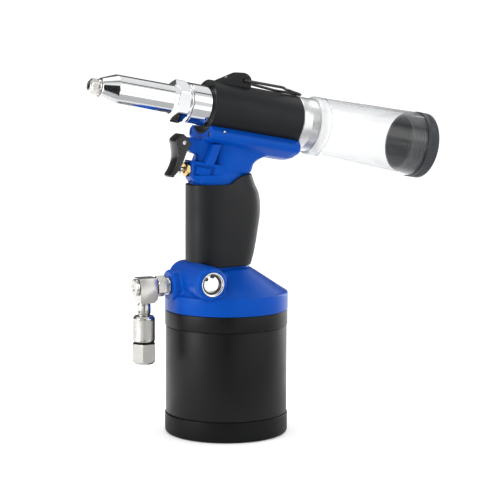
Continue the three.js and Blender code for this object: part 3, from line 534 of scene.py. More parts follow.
wrap_inner = size("air_cylinder")[0] + 0.3
cup_radius, cup_low, cup_high = size("base_cup")
cup_floor = 3.2
piece("base_cup_rubber", lathed([
    (0, cup_low), (cup_radius - 1.5, cup_low), (cup_radius, cup_low + 1.6), (cup_radius, cup_high),
    (wrap_inner, cup_high), (wrap_inner, cup_floor), (0, cup_floor)], 0.7, 144),
    CUP_BLACK, "tool", "base_cup")
for name, edge in (("cylinder_sleeve", 0.5), ("top_band", 0.7)):
    radius, low, high = size(name)
    piece(name + "_skin", solid(tube(wrap_inner, radius, low, high, edge, 144)),
          SLEEVE_BLACK, "tool", name)


# ---- Body casting

rim_low = size("main_body")[1]
rim_radius = size("base_cup")[0] + 0.1
rim_top = 112.9
boss_radius = 13.3
valve_face = size("valve_bezel", VALVE)[2] - 0.5
inlet_face = 50.5
shroud_rear, shroud_front = size("shroud", BARREL)[1:]
shroud_radius = 21.1
GRIP_POWER = 2.4
grip_low, grip_high = (point.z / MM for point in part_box("grip_sleeve"))
grip_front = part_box("grip_sleeve")[0].x / MM
GRIP_SECTIONS = [  # height, rear, half width
    (grip_low, 18.8, 19.0), (144, 21.8, 19.6), (159, 24.6, 20.0), (175, 26.85, 19.95),
    (188, 25.8, 19.8), (197, 21.8, 19.0), (grip_high + 0.7, 18.9, 18.0),
]
GRIP_PATH = smooth_path(GRIP_SECTIONS, 10)


def grip_section(z):
    """Rear and half width of the grip at a height, from a smooth curve through the sections."""
    for lower, upper in zip(GRIP_PATH, GRIP_PATH[1:]):
        if z <= upper.x:
            break
    t = (z - lower.x) / max(upper.x - lower.x, 1e-9)
    return lower.lerp(upper, min(max(t, 0.0), 1.0)).yz


def body_casting():
    """The blue casting: soft cast forms melted together, then the machined faces cut."""
    core_inset = 3.3
    core = [(112, 15.4, 15.7)] + [(z, rear - core_inset, half - core_inset)
                                  for z, rear, half in GRIP_SECTIONS[1:-1]] + [(205, 16.3, 15)]
    core_rings = [oval(point.x, grip_front + core_inset, point.y, point.z, GRIP_POWER)
                  for point in smooth_path(core, 6)]
    neck_rings = [oval(*section, power=4) for section in (
        (199, -29.4, 15.9, 14), (203, -21, 15.6, 13.6), (205, -17.5, 15.6, 13.2),
        (206.5, -15.5, 17.5, 14.6), (212, -14.8, 19.2, 14.5), (214.6, -14.6, 22, 14.4),
        (216.4, -14.5, 26, 14.2), (217.8, -14.4, 31, 14), (225, -14, 33, 13.4), (236, -13, 30, 12))]
    shoulder = [oval(*section, power=2.2) for section in (
        (106, -46, 0, 33), (112, -45.6, 0, 32), (118, -44.6, 0, 30.4), (124, -42, 0, 27),
        (130, -38, 0, 22))]
    cone = turned([(0, 104), (rim_radius - 1.6, 104), (rim_radius - 1.6, rim_top - 0.2),
                   (28, 125.2), (19, 131), (0, 133)], 128)
    web = [oval(*section, power=2.3) for section in (
        (211, -27.4, 0, 7.6), (222, -27.4, 0, 7.6), (228, -29, 0, 8.4), (231.5, -28.5, 0, 9.5))]
    lug_radius, lug_start, lug_end = 4.4, 300, 95  # angles in degrees round the trigger's pin
    lug = [(-20, 220.6), (-30.5, 221.2)]
    for i in range(13):
        angle = math.radians(lug_start - (lug_start - lug_end) * i / 12)
        lug.append((TRIGGER.x + lug_radius * math.cos(angle),
                    TRIGGER.z + lug_radius * math.sin(angle)))
    lug += [(-24, 233), (-20, 232)]
    inlet_boss = turned([(0, 18), (13.4, 18), (13, 40), (12.2, inlet_face - 0.8),
                         (11.4, inlet_face), (0, inlet_face)])
    valve_boss = turned([(0, -14), (boss_radius - 0.8, -14), (boss_radius, -13),
                         (boss_radius, valve_face - 4.5), (boss_radius - 1.5, valve_face),
                         (0, valve_face)])
    body = solid(cone, loft(core_rings), loft(neck_rings), loft(shoulder), loft(web),
                 plate(lug, -4, 4), moved(saddle_loft(), BARREL), moved(inlet_boss, INLET),
                 moved(valve_boss, VALVE))
    fuse(body, voxel=0.8, rounds=9)
    rim = lathed([
        (0, rim_low), (rim_radius, rim_low, 0.3), (rim_radius, rim_top - 1.1, 0.9),
        (rim_radius - 1.8, rim_top, 1.4), (30, 122), (0, 118)], 0.4, 160)
    combine(body, rim, "UNION")
    combine(body, trigger_housing(), "UNION")
    for low, high in ((-14.2, -7), (7, 14.2)):
        rib = solid(plate([(-18, 212.6), (-24.6, 213), (-18, 229), (-11, 228.8)], low, high))
        combine(body, bevel(rib, 0.5), "UNION")
    return machine(body)


def trigger_housing():
    """A wedge with a sloping roof, and a framed recess in each side."""
    front, floor, roof = -33.6, 198, 216.4
    wedge = solid(swap_plate([(-5, -13.8), (-14, -13.8), (-32.4, -7.2), (front, -5.6), (front, 5.6),
                              (-32.4, 7.2), (-14, 13.8), (-5, 13.8)], floor, roof))
    side_view = [(-5, floor), (-29.4, floor), (front, 203.4), (front, roof), (-5, roof - 5.15)]
    combine(wedge, solid(plate(side_view, -20, 20)), "INTERSECT")
    bevel(wedge, 0.7, 3, 20)
    for side in (-1, 1):
        place = (Matrix.Translation((-32.4, side * 7.2, roof - 0.2))
                 @ Matrix.Rotation(side * math.radians(19.7), 4, "Z")
                 @ Matrix.Rotation(tilt, 4, "Y"))
        outer, pocket_floor, pad_top, inner = (side * depth for depth in (3, -2.1, -1, -3))
        pocket = block((1.6, 18), sorted((outer, pocket_floor)), (-10.8, -2.3))
        pocket = bevel(solid(pocket, place=place), 0.6, 3)
        pad = block((3.5, 15), sorted((pad_top, inner)), (-10.2, -3.8))
        combine(pocket, bevel(solid(pad, place=place), 0.35))
        combine(wedge, pocket)
    return wedge


def join(obj, other):
    """Adds another temporary object's faces to the first."""
    bm = bmesh.new()
    bm.from_mesh(obj.data)
    bm.from_mesh(other.data)
    bm.to_mesh(obj.data)
    bm.free()
    bpy.data.objects.remove(other)


def saddle_loft():
    """The saddle under the barrel: a rail down each side, and a keel that deepens rearwards."""
    rail_foot, rail_top, crown = -25.3, -17.6, -11.5
    rings = []
    for s, bottom, spread in (
            (-60.5, -26.5, 0.86), (-59.6, -28.4, 0.94), (-57.6, -30, 0.98), (-54, -31, 1),
            (-49, -31.3, 1), (-28, -31.3, 1), (-10, -29.6, 1), (6, -27.8, 1),
            (shroud_front, -27.2, 1)):
        depth = bottom - rail_foot
        half = [(12.5, crown), (17.6, -15.3), (20.4, rail_top), (21.1, -20.4), (20.2, -23.2),
                (17.6, rail_foot), (12, rail_foot + 0.68 * depth), (6, rail_foot + 0.95 * depth)]
        half = [(y * spread, rail_top + (h - rail_top) * spread if h < rail_top else h)
                for y, h in half]
        ring = [(h, -y, s) for y, h in reversed(half)] + [(crown, 0, s)]
        ring += [(h, y, s) for y, h in half] + [(bottom * spread, 0, s)]
        rings.append(ring)
    return loft(rings)


def machine(body):
    """Bores, seats and pockets that the real casting has cut or moulded into it."""
    ends = shroud_rear - 20, shroud_front + 40
    pillar = rod(9.4, 205, 245)
    trough = solid(rod(shroud_radius + 0.3, *ends, sides=160), place=BARREL)
    combine(trough, solid(pillar))
    combine(body, trough)
    cut(body, rod(20, *ends, sides=160), place=BARREL)
    cut(body, rod(45.5, rim_low - 1, 104.3, sides=128))
    cut(body, rod(9.6, valve_face - 4.4, valve_face + 1), rod(7, -11, valve_face - 4), place=VALVE)
    cut(body, rod(5, 33, inlet_face + 1), place=INLET)
    cut(body, rod(5.2, 20, 40), place=STEM)
    cut(body, across(rod(1.95, -10, 10), TRIGGER.x, TRIGGER.z))
    cut(body, block((shroud_front, shroud_front + 5), (-30, 30), (-25.8, 0)), place=BARREL @ SWAP)
    for side in (-1, 1):
        screw_hole = rod(2.4, shroud_front - 7, shroud_front + 1)
        cut(body, moved(screw_hole, Matrix.Translation((-20.7, side * 16, 0))), place=BARREL)
    return cut(body, moved(rod(1.3, 16.6, 25, 0.02), BLEED))


piece("body_casting", body_casting(), BLUE, "tool", "main_body", sharp=50)


# ---- Grip sleeve


def grip():
    """A closed sleeve: outside from bottom to top, over the rounded rim, and down the inside."""
    sides, rows, wall = 160, 48, 2.7
    top_line = [(-60, 197.6), (-9, 197.6), (-5, 198.4), (0, 201.6), (4, 203.6), (9, 204.8),
                (60, 204.8)]

    def top(x):
        for (x0, z0), (x1, z1) in zip(top_line, top_line[1:]):
            if x <= x1:
                t = (x - x0) / (x1 - x0)
                steep = abs(z1 - z0) > 2
                return z0 + (z1 - z0) * (t * t * (3 - 2 * t) if steep else t)
        return top_line[-1][1]

    def bottom(x, y):
        reach = boss_radius + 0.5
        along = abs(x - plug.x)
        near = min(max((abs(y) - 12.5) / 1.5, 0), 1)
        rise = plug.z + math.sqrt(max(reach ** 2 - along ** 2, 0)) if along < reach else grip_low
        return grip_low + max(rise - grip_low, 0) * near

    def point(angle, z, inset):
        rear, half = grip_section(z)
        c, s = math.cos(angle), math.sin(angle)
        front = grip_front + inset
        rear, half = rear - inset, half - inset
        x = (front + rear) / 2 + (rear - front) / 2 * math.copysign(abs(c) ** (2 / GRIP_POWER), c)
        return x, half * math.copysign(abs(s) ** (2 / GRIP_POWER), s)

    def ring(level, inset, lift=0.0):
        made = []
        for i in range(sides):
            angle = TAU * i / sides
            z = 165.0
            for _ in range(4):  # the edges' height depends on x and y, which depend on height
                x, y = point(angle, z, inset)
                z = bottom(x, y) * (1 - level) + top(x) * level + lift
            made.append((x, y, z))
        return made

    rings = [ring(0, 1.0), ring(0, 0.3, 0.12), ring(0, 0.0, 0.8)]
    rings += [ring(i / rows, 0.0) for i in range(1, rows)]
    rings += [ring(1, 0.0, -0.8), ring(1, 0.3, -0.15), ring(1, 0.9)]
    rings += [ring(1, wall - 0.6), ring(1, wall, -0.5)]
    rings += [ring(i / 8, wall) for i in range(7, 0, -1)] + [ring(0, wall, 0.4)]
    verts, faces = loft(rings, caps=False)
    last = len(verts) - sides
    faces += [(last + i, last + (i + 1) % sides, (i + 1) % sides, i) for i in range(sides)]
    return verts, faces


piece("grip_rubber", solid(grip()), GRIP_BLACK, "tool", "grip_sleeve", sharp=60)


# ---- Trigger and its valve


def trigger():
    """A lever with a crowned face wider than its web, and a slot for the body's lug."""
    face_half, web_half, slot_half = 7.2, 6.3, 4.4
    crown, slot_radius = 1.2, 5.2
    face = smooth_path([(-42.4, 236.7), (-46.4, 233.6), (-47.5, 231), (-46.6, 227), (-46, 222),
                        (-46.2, 217.5), (-47.4, 213), (-49.6, 208.6), (-51.8, 205.4),
                        (-51.2, 203.8)], 4)
    back = smooth_path([(-49.6, 204), (-46.8, 206.6), (-43.9, 210), (-41, 215.4), (-39.1, 220.4),
                        (-37.2, 224.4), (-35, 227.6), (-34.8, 229.8), (-36.8, 233.2),
                        (-39.6, 236)], 4)
    face_back = [(point.x + 2.2, point.y + 0.3) for point in reversed(face)]
    body = solid(plate([*face, *back], -web_half, web_half))
    join(body, solid(plate([*face, *face_back], -face_half, face_half)))
    fuse(body, voxel=0.32, rounds=5)
    for vertex in body.data.vertices:
        vertex.co.x += crown * (vertex.co.y / face_half) ** 2
    slot = []
    for i in range(16):
        angle = math.radians(90 + 10 * i)
        slot.append((TRIGGER.x + slot_radius * math.cos(angle),
                     TRIGGER.z + slot_radius * math.sin(angle)))
    slot += [(-40.5, 219.6), (-30, 219.6), (-30, TRIGGER.z + slot_radius)]
    cut(body, plate(slot, -slot_half, slot_half))
    return cut(body, across(rod(1.75, -10, 10, 0.05), TRIGGER.x, TRIGGER.z))


piece("trigger_lever", trigger(), TRIGGER_BLACK, "trigger", "trigger", sharp=45)
pin = turned(soften([(0, -6.9), (0.7, -6.9), (1.6, -7.2), (1.6, 7.2), (0.7, 6.9), (0, 6.9)],
                    0.2), 32)
piece("trigger_hinge_pin", solid(across(pin, TRIGGER.x, TRIGGER.z)), STEEL, "tool", "trigger_pin")

stem_low, stem_high = size("trigger_valve_stem", STEM)[1:]
flange, valve_low, valve_high = size("trigger_valve_body", STEM)
flange_start = 33.9
piece("trigger_valve_brass", lathed([
    (2.2, valve_low), (4.9, valve_low), (4.9, flange_start), (flange, flange_start),
    (flange, valve_high - 1), (flange - 1.3, valve_high), (2.9, valve_high),
    (2.2, valve_high - 0.6), (2.2, valve_low)], 0.25, place=STEM,
    limit=hexed(flange * 1.84, flange_start - 0.1)), BRASS, "tool", "trigger_valve_body")
piece("trigger_valve_plunger", lathed([
    (0, stem_low), (3.6, stem_low), (3.6, stem_low + 1), (1.8, stem_low + 1), (1.8, 40.9),
    (3.6, 40.9), (4.1, 41.1), (4.1, 41.5), (1.9, stem_high), (0, stem_high)], 0.3, 48, STEM),
    NICKEL, "valve_stem", "trigger_valve_stem")


# ---- Main air valve plug

bezel_outer, bezel_low, bezel_high = size("valve_bezel", VALVE)
piece("valve_bezel_ring", lathed([
    (7.9, bezel_low), (bezel_outer, bezel_low), (bezel_outer, bezel_high), (8.6, bezel_high),
    (8.6, bezel_high - 1.6), (7.9, bezel_high - 1.6), (7.9, bezel_low)], 0.2, place=VALVE),
    CHROME, "tool", "valve_bezel")
plug_radius, plug_low, plug_high = size("valve_plug", VALVE)
piece("valve_plug_disc", lathed([
    (0, plug_low), (6.7, plug_low), (6.7, 31), (5.3, 31), (5.3, 33.4), (6.7, 33.4), (6.7, 35.9),
    (plug_radius, 35.9), (plug_radius, plug_high - 0.5), (6.4, plug_high), (0, plug_high)], 0.3,
    place=VALVE), CHROME, "tool", "valve_plug")


def retaining_ring(radius, width, low, high, open_half, ear, facing):
    """A flat spring ring with two drilled ears at its mouth."""
    outline, steps = [], 60
    for i in range(steps + 1):
        angle = facing + open_half + (TAU - 2 * open_half) * i / steps
        outline.append((radius * math.cos(angle), radius * math.sin(angle)))
    for i in range(steps, -1, -1):
        angle = facing + open_half + (TAU - 2 * open_half) * i / steps
        outline.append(((radius - width) * math.cos(angle), (radius - width) * math.sin(angle)))
    ring = solid(swap_plate(outline, low, high))
    for side in (-1, 1):
        angle = facing + side * (open_half + 0.06)
        reach = radius - ear
        at = Matrix.Translation((reach * math.cos(angle), reach * math.sin(angle), 0))
        combine(ring, solid(moved(rod(ear, low, high, 0.02, 32), at)), "UNION")
        cut(ring, moved(rod(ear * 0.45, low - 1, high + 1, 0.02, 24), at))
    return ring


snap_ring = retaining_ring(radius=7.58, width=0.9, low=37.8, high=38.6, open_half=0.4, ear=1.45,
                           facing=math.radians(111))
snap_ring.data.transform(VALVE)
piece("valve_retaining_ring", snap_ring, WIRE_BLACK, "tool", "valve_plug_ring")


# ---- Air inlet

adapter_low, adapter_high = size("inlet_adapter", INLET)[1:]
HEX_START, HEX_END = 54.7, 61.3


def threaded(low, high, outer, depth, pitch):
    """A profile's outside between two heights, with thread grooves cut round it as rings."""
    points = [(outer - depth, low)]
    z = low + 0.2
    while z + pitch < high:
        points += [(outer - depth, z), (outer, z + pitch * 0.4), (outer, z + pitch * 0.55),
                   (outer - depth, z + pitch * 0.95)]
        z += pitch
    return points + [(outer - depth, high)]


inlet_profile = [(2.4, adapter_low), (4.7, adapter_low), (4.7, inlet_face + 0.3)]
inlet_profile += threaded(inlet_face + 0.3, HEX_START - 0.2, 7.0, 0.55, 1.15)
inlet_profile += [(8.37, HEX_START, 0.1), (8.37, HEX_START + 0.9, 0.1), (8.37, HEX_END - 0.9, 0.1),
                  (7.2, HEX_END, 0.1), (4.5, HEX_END), (4.5, adapter_high), (2.4, adapter_high),
                  (2.4, adapter_low)]
inlet_hex = hexed(14.5, HEX_START - 0.05, HEX_END + 0.05)
piece("inlet_nipple", lathed(inlet_profile, 0.15, place=INLET, spacing=0.6, limit=inlet_hex),
      NICKEL, "tool", "inlet_adapter")


def swivel_block():
    """A block with one chamfered lower edge, drilled for the bolt and the outlet."""
    low, high = (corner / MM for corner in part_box("swivel_block"))
    bottom_cut = 3.0
    outline = [(low.x + 0.6, low.z), (high.x - bottom_cut, low.z), (high.x, low.z + bottom_cut),
               (high.x, high.z), (low.x, high.z), (low.x, low.z + 0.6)]
    block_obj = bevel(solid(plate(outline, low.y, high.y)), 0.55, 3, 30)
    cut(block_obj, rod(4.8, -high.x - 1, -low.x + 1), place=INLET)
    cut(block_obj, rod(4.3, low.z - 1, 112, 0.1), place=DROP)
    return block_obj


piece("swivel_elbow", swivel_block(), NICKEL, "swivel", "swivel_block", sharp=30)
cap_radius, cap_low, cap_high = size("swivel_cap", INLET)
piece("swivel_bolt_head", lathed([
    (0, cap_low), (cap_radius, cap_low), (cap_radius, cap_high - 0.5), (5.9, cap_high),
    (2.6, cap_high), (2.2, cap_high - 0.7), (0, cap_high - 0.7)], 0.25, place=INLET),
    NICKEL, "tool", "swivel_cap")

stub_radius, stub_low, stub_high = size("outlet_stub", DROP)
block_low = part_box("swivel_block")[0].z / MM
stub = lathed([
    (2.6, stub_low), (4.4, stub_low), (4.4, 96.6), (stub_radius - 0.5, 96.6),
    (stub_radius - 0.5, 98.6), (stub_radius, 99), (stub_radius, block_low - 1.4),
    (4.7, block_low - 1), (4.7, block_low - 0.3), (4, block_low - 0.3), (4, stub_high),
    (2.6, stub_high), (2.6, stub_low)], 0.15, 64)
FRONT = math.radians(-117)
for turn in (-41, 41):
    way = Matrix.Translation((0, 0, 100.6)) @ Matrix.Rotation(FRONT + math.radians(turn), 4, "Z")
    cut(stub, moved(rod(1.1, 3.4, 9, 0.02, 24), way @ Matrix.Rotation(math.pi / 2, 4, "Y")))
stub.data.transform(DROP)
piece("outlet_stub_tube", stub, NICKEL, "swivel", "outlet_stub", sharp=30)

knurl_low, knurl_high = size("knurled_sleeve", DROP)[1:]


def knurl(radius, angle, height):
    """Diamond knurling between the sleeve's plain ends."""
    edge = min(height - knurl_low - 1.2, knurl_high - 2.4 - height)
    if edge < 0 or radius < 8:
        return radius
    starts, lead, depth = 44, 4.4, 0.28
    first = math.cos(starts * angle + lead * height)
    second = math.cos(starts * angle - lead * height)
    return radius - depth * min(edge, 1.0) * (0.5 - 0.25 * (first + second))


piece("knurled_collar", lathed([
    (6.8, knurl_low), (8.1, knurl_low), (8.55, knurl_low + 0.6), (8.55, knurl_high - 1.8),
    (7.4, knurl_high), (5.6, knurl_high), (5.6, knurl_high - 1.6), (6.8, knurl_high - 1.6),
    (6.8, knurl_low)], 0.3, 396, DROP, spacing=0.2, limit=knurl),
    NICKEL, "hose_coupling", "knurled_sleeve", sharp=80)

nut_radius, nut_low, nut_high = size("hose_coupling", DROP)
nut_top = size("sleeve_seal", DROP)[1] - 0.3
socket = 5.6
piece("hose_nut", lathed([
    (socket, nut_low), (7.4, nut_low), (nut_radius, nut_low + 2.6, 0.6),
    (nut_radius, nut_top - 0.8), (9, nut_top), (6.4, nut_top), (6.4, nut_high), (4.9, nut_high),
    (4.9, 72), (2.5, 72), (2.5, 70), (socket, 70), (socket, nut_low)], 0.25, 192, DROP,
    spacing=0.5, limit=hexed(17, nut_low, nut_top, FRONT + HEX_PHASE)),
    NICKEL, "hose_coupling", "hose_coupling", sharp=24)
seal_radius, seal_low, seal_high = size("sleeve_seal", DROP)
piece("sleeve_gap_ring", solid(tube(6.7, seal_radius, seal_low, seal_high, 0.3), place=DROP),
      SEAL_BLACK, "hose_coupling", "sleeve_seal")


# ---- Barrel

cylinder_radius, cylinder_rear, cylinder_front = size("hydraulic_cylinder", BARREL)
snout_end = size("nose_sleeve", BARREL)[1] - 0.3
snout, shoulder_s = 16, 17
piece("hydraulic_barrel", lathed([
    (15.5, cylinder_rear), (cylinder_radius, cylinder_rear), (cylinder_radius, shoulder_s),
    (snout, shoulder_s), (snout, snout_end), (13.5, snout_end), (13.5, cylinder_front),
    (9.5, cylinder_front), (9.5, 12), (8.3, 12), (8.3, 1), (15.5, 1), (15.5, cylinder_rear)],
    0.4, 128, BARREL), CHROME, "tool", "hydraulic_cylinder")


def shroud():
    """A tube with an inner lip in front, and the hanger's lug on top."""
    inner, lip, lip_rear, lip_front = shroud_radius - 1.35, 16.3, 17.3, 18.9
    skin = lathed([
        (inner, shroud_rear), (shroud_radius, shroud_rear), (shroud_radius, shroud_front),
        (inner, shroud_front), (inner, lip_front), (lip, lip_front), (lip, lip_rear),
        (inner, lip_rear), (inner, shroud_rear)], 0.5, 160)
    lug = [(14, -14.2), (25.5, -14.2), (28.4, -12.8), (30.4, -9.8), (31, -6.4), (30.2, -3),
           (20.2, 14), (14, 14)]
    lug_solid = bevel(solid(plate(rounded_path([*lug, lug[0]], 1.0, 3)[:-1], -7, 7)), 0.9, 3, 40)
    cut(lug_solid, rod(shroud_radius - 0.4, shroud_rear - 1, shroud_front + 1, sides=160))
    combine(skin, lug_solid, "UNION", "EXACT")
    cut(skin, across(rod(1.6, -10, 10, 0.02, 32), hanger_up, hanger_s))
    pocket = Matrix.Translation((25.3, 0, 5.6)) @ Matrix.Rotation(math.radians(59.5), 4, "Y")
    cut(skin, moved(rod(1.6, -3, 1, 0.02, 32), pocket))
    return cut(skin, moved(rod(9.8, 215, 245), BARREL.inverted()))


hanger_place = BARREL.inverted() @ pivot("hanger_hinge")
hanger_up, hanger_s = hanger_place.x, hanger_place.z
collar = shroud()
collar.data.transform(BARREL)
piece("barrel_shroud", collar, SHROUD_BLACK, "tool", "shroud", sharp=40)

hanger_path = rounded_path([
    (hanger_up, -2.6, hanger_s), (hanger_up, -8.8, hanger_s), (25.2, -8.4, -41.2),
    (24.2, -4.4, -47), (22.4, -4.3, -60.4), (22.4, 4.3, -60.4), (22.6, 4.4, -50.5),
    (22.5, 8.4, -44.2), (hanger_up, 8.8, hanger_s), (hanger_up, 2.6, hanger_s)], 2.2)
piece("hanger_wire", solid(wire(hanger_path, 1.12), place=BARREL),
      WIRE_BLACK, "hanger", "hanger", sharp=60)


# ---- Nose

nose_low, nose_high = size("nose_sleeve", BARREL)[1:]
NOSE_RADIUS, NOSE_HEX = 12.0, 29.0
hex_low, hex_high = nose_low + 2.2, nose_low + 14.2
nose_profile = [
    (13.8, nose_low), (15.6, nose_low), (16, nose_low + 0.5), (16, hex_low - 0.9),
    (15.2, hex_low - 0.3), (15.4, hex_low), (16.5, hex_low + 1.4, 0.1), (16.5, hex_high - 3, 0.1),
    (12.7, hex_high), (NOSE_RADIUS, hex_high), (NOSE_RADIUS, 96.5, 0.6), (7.4, nose_high, 0.4),
    (5.5, nose_high), (5.5, 96.4), (9.3, 96.4), (9.3, 46), (13.8, 46), (13.8, nose_low)]
nose_hex = hexed(NOSE_HEX, hex_low - 0.2, hex_high + 0.1)
piece("nose_barrel", lathed(nose_profile, 0.3, 192, BARREL, spacing=0.7, limit=nose_hex),
      CHROME, "tool", "nose_sleeve", sharp=24)
tip_low, tip_high = size("nosepiece", BARREL)[1:]
tip_base = nose_high + 0.3
tip_profile = [
    (3.2, tip_low), (5.2, tip_low), (5.2, tip_base), (6.3, tip_base), (6.3, 110.4), (5.9, 110.9),
    (5.95, 111.3, 0.1), (5.95, 115.6, 0.1), (4.9, 116.2), (3.6, tip_high), (1.8, tip_high),
    (1.8, 104), (3.2, 100), (3.2, tip_low)]
tip_hex = hexed(10.4, 111, 116.4)
piece("nosepiece_tip", lathed(tip_profile, 0.2, 144, BARREL, spacing=0.5, limit=tip_hex),
      NICKEL, "tool", "nosepiece", sharp=26)


# ---- Mandrel bottle

collar_radius, collar_rear, collar_front = size("bottle_adapter", BARREL)
collar_step = -73.0
collar_profile = [(6.6, collar_front), (6.6, -63), (16.6, -66), (16.6, collar_rear),
                  (19.4, collar_rear)]
collar_profile += threaded(collar_rear, collar_step - 0.6, 20.2, 0.7, 1.8)
collar_profile += [(19.2, collar_step), (20.6, collar_step)]
collar_profile += threaded(collar_step, -65.2, collar_radius, 0.4, 1.1)
collar_profile += [(collar_radius, -65), (collar_radius, collar_front - 0.6),
                   (collar_radius - 0.5, collar_front), (6.6, collar_front)]
piece("bottle_collar", lathed(collar_profile, 0.2, 128, BARREL, 2),
      ALUMINIUM, "tool", "bottle_adapter", sharp=30)
bottle_radius, bottle_rear, bottle_front = size("bottle", BARREL)
shell_front, bead_rear = -82.3, -82.2
piece("bottle_shell", lathed([
    (24.2, bottle_rear), (bottle_radius, bottle_rear), (23.45, -86, 3), (23.3, shell_front),
    (21.3, shell_front), (21.4, -86), (24.2, bottle_rear)], 0.6, 144, BARREL),
    CLEAR, "bottle", "bottle", sharp=40)
piece("bottle_bead", lathed([
    (20.6, bead_rear), (23.4, bead_rear), (23.5, -79, 2), (23.4, -75, 1), (22.6, bottle_front),
    (20.6, bottle_front), (20.6, bead_rear)], 0.5, 144, BARREL), BEAD, "bottle", sharp=40)
cap_outer, cap_rear, cap_front = size("bottle_cap", BARREL)


def ribs(radius, angle, height):
    """Fine grip ribs round the cap's rim."""
    count, depth = 90, 0.35
    edge = min(height - cap_rear - 1.6, bottle_rear - 1.4 - height)
    if edge < 0 or radius < cap_outer - 0.6:
        return radius
    return radius - depth * min(1.0, edge) * (0.5 + 0.5 * math.cos(count * angle))


cap_front_lip = bottle_rear - 0.3
cap_profile = [(0, cap_rear), (cap_outer - 1.4, cap_rear, 0.8), (cap_outer - 0.1, cap_rear + 1),
               (cap_outer, bottle_rear - 0.8), (26.1, cap_front_lip), (23.2, cap_front_lip)]
cap_profile += threaded(cap_front_lip, cap_front - 0.4, 23.2, 0.7, 1.9)
cap_profile += [(22.4, cap_front), (20.2, cap_front), (20.2, -179.6), (0, -179.6)]
piece("bottle_end_cap", lathed(cap_profile, 0.25, 360, BARREL, 2, 1.0, ribs),
      CAP_BLACK, "bottle_cap", "bottle_cap", sharp=40)


# ---- Camera, floor and light

AZIMUTH, ELEVATION, ROLL = map(math.radians, (-27.202, 7.281, 0.269))
DISTANCE, SENSOR, FOCAL_WIDTHS = 1.4027, 36, 3.5722  # focal length in picture widths
TARGET_RIGHT, TARGET_UP, TARGET_HEIGHT = 0.018472, -0.01356, 0.1581

right = Vector((math.cos(AZIMUTH), math.sin(AZIMUTH), 0))
back = Vector((math.sin(AZIMUTH) * math.cos(ELEVATION), -math.cos(AZIMUTH) * math.cos(ELEVATION),
               math.sin(ELEVATION)))
above = back.cross(right)
target = Vector((0, 0, TARGET_HEIGHT)) + right * TARGET_RIGHT + above * TARGET_UP
rolled_right = right * math.cos(ROLL) + above * math.sin(ROLL)
rolled_up = above * math.cos(ROLL) - right * math.sin(ROLL)
camera = bpy.data.objects.new("camera", bpy.data.cameras.new("camera"))
camera.data.sensor_width = SENSOR
camera.data.lens = SENSOR * FOCAL_WIDTHS
camera.data.clip_end = 200
camera.matrix_world = frame_at(rolled_right, rolled_up, back, target + back * DISTANCE)
bpy.context.scene.collection.objects.link(camera)
bpy.context.scene.camera = camera
bpy.context.scene.view_settings.view_transform = "Standard"


def stage_object(name, verts, faces, material, matrix=ROW):
    """Something round the part, in metres."""
    mesh = bpy.data.meshes.new(name)
    mesh.from_pydata(verts, [], faces)
    mesh.materials.append(material)
    obj = bpy.data.objects.new(name, mesh)
    bpy.context.scene.collection.objects.link(obj)
    obj.matrix_world = matrix
    return obj


def stage_plate(name, width, depth, matrix, brightness, glow=0.0):
    """A matt card of a grey brightness, which may also glow."""
    n = Nodes(name)
    colour = (brightness,) * 3
    n.set(Base_Color=n.tint(n.noise(3, 2), shade(colour, 0.985), colour), Roughness=0.9,
          Specular_IOR_Level=0.0, Emission_Color=(1, 1, 1, 1), Emission_Strength=glow)
    x, y = width / 2, depth / 2
    return stage_object(name, [(-x, -y, 0), (x, -y, 0), (x, y, 0), (-x, y, 0)], [(0, 1, 2, 3)],
                        n.material, matrix)


stage_plate("floor", 60, 60, Matrix.Translation((0, 0, -0.0002)), 0.9, 0.2)


def towards(place, aim=(0, 0, 0.15)):
    """A matrix at a place with its -Z towards the aim."""
    rotation = (Vector(aim) - Vector(place)).to_track_quat("-Z", "Y").to_matrix().to_4x4()
    return Matrix.Translation(place) @ rotation


def reflected_only(obj):
    """Hides a stage object from everything but glossy rays."""
    for ray in ("camera", "diffuse", "shadow", "transmission"):
        setattr(obj, "visible_" + ray, False)


def flag(name, matrix, width, height, brightness):
    """A card that only shows in reflections, to draw edges in the polished metal."""
    reflected_only(stage_plate(name, width, height, matrix, brightness))


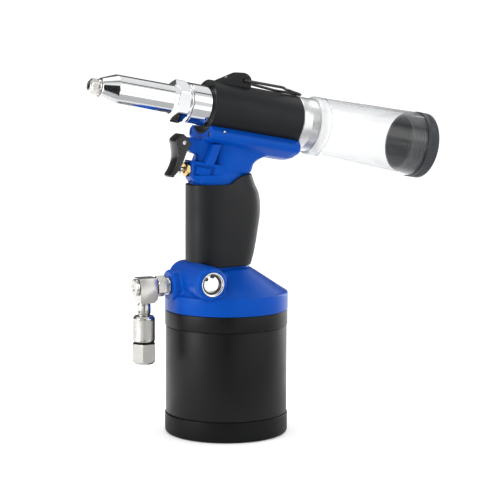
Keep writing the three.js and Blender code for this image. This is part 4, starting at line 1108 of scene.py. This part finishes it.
def reflection_dome():
    """What gloss and metal mirror: a pale studio, dim by the lens, with dark edges overhead."""
    n = Nodes("reflections")
    way = n.node("VectorMath", Vector=n.coordinates)
    way.operation = "NORMALIZE"
    way = way.outputs[0]
    lens = n.math("DOT_PRODUCT", way, (-0.453, -0.882, 0.13), "VectorMath")
    parts = n.node("SeparateXYZ", Vector=way).outputs
    bands = n.node("ValToRGB", Fac=n.spread(parts["Y"], 0, 1, -1, 1))
    steps = ((0.17, 0.95), (0.315, 0.55), (0.32, 0.04), (0.36, 0.04), (0.365, 0.8), (0.7, 0.9))
    for _ in steps[2:]:
        bands.color_ramp.elements.new(0.5)
    for element, (place, value) in zip(bands.color_ramp.elements, steps):
        element.position, element.color = place, (value, value, value, 1)
    around = n.math("MULTIPLY", n.spread(lens, 1.0, 0.35, 0.62, 0.92),
                    n.spread(parts["X"], 0.8, 1.0, -0.9, -0.4))
    overhead = n.spread(parts["Z"], 0, 1, 0.3, 0.4)
    level = n.math("ADD", n.math("MULTIPLY", around, n.math("SUBTRACT", 1.0, overhead)),
                   n.math("MULTIPLY", bands.outputs[0], overhead))
    behind = n.math("MULTIPLY", n.spread(parts["Y"], 0, 0.88, 0.5, 0.62),
                    n.spread(parts["Z"], 0, 1, 0.02, 0.1))
    n.set(Base_Color=(0, 0, 0, 1), Specular_IOR_Level=0.0, Emission_Color=(1, 1, 1, 1),
          Emission_Strength=n.math("MULTIPLY", level, n.math("SUBTRACT", 1.0, behind)))
    radius = 6
    slopes = [math.radians(degrees) for degrees in range(-80, 81, 10)]
    profile = [(radius * math.cos(slope), radius * math.sin(slope)) for slope in slopes]
    shape = turned([(0, -radius), *profile, (0, radius)], 48)
    reflected_only(stage_object("reflections", *shape, n.material))


def softbox(name, place, size_x, size_y, watts):
    """A rectangular light aimed at the part."""
    light = bpy.data.lights.new(name, "AREA")
    light.shape, light.size, light.size_y, light.energy = "RECTANGLE", size_x, size_y, watts
    obj = bpy.data.objects.new(name, light)
    obj.matrix_world = towards(place)
    bpy.context.scene.collection.objects.link(obj)


flag("floor_flag", Matrix.Translation((0.1, -0.35, 0.001)), 1.6, 0.45, 0.4)
flag("near_floor_flag", Matrix.Translation((0.1, -0.03, 0.001)), 1.6, 0.19, 0.75)
flag("nose_flag", towards((-0.19, -0.39, 0.28), (-0.1, 0, 0.28)), 0.16, 0.6, 0.02)
reflection_dome()
softbox("key", (0.9, -1.3, 0.9), 1.0, 1.2, 4)
softbox("left", (-1.7, -0.1, 0.5), 0.7, 1.4, 14)
softbox("right", (1.5, 0.5, 0.5), 0.6, 1.4, 9)
softbox("top", (0, 0.3, 1.9), 1.2, 0.8, 5)

world = bpy.data.worlds.new("studio")
bpy.context.scene.world = world
world.use_nodes = True
background = world.node_tree.nodes["Background"]
background.inputs["Color"].default_value = (1, 1, 1, 1)
background.inputs["Strength"].default_value = 1.02

bpy.context.view_layer.update()
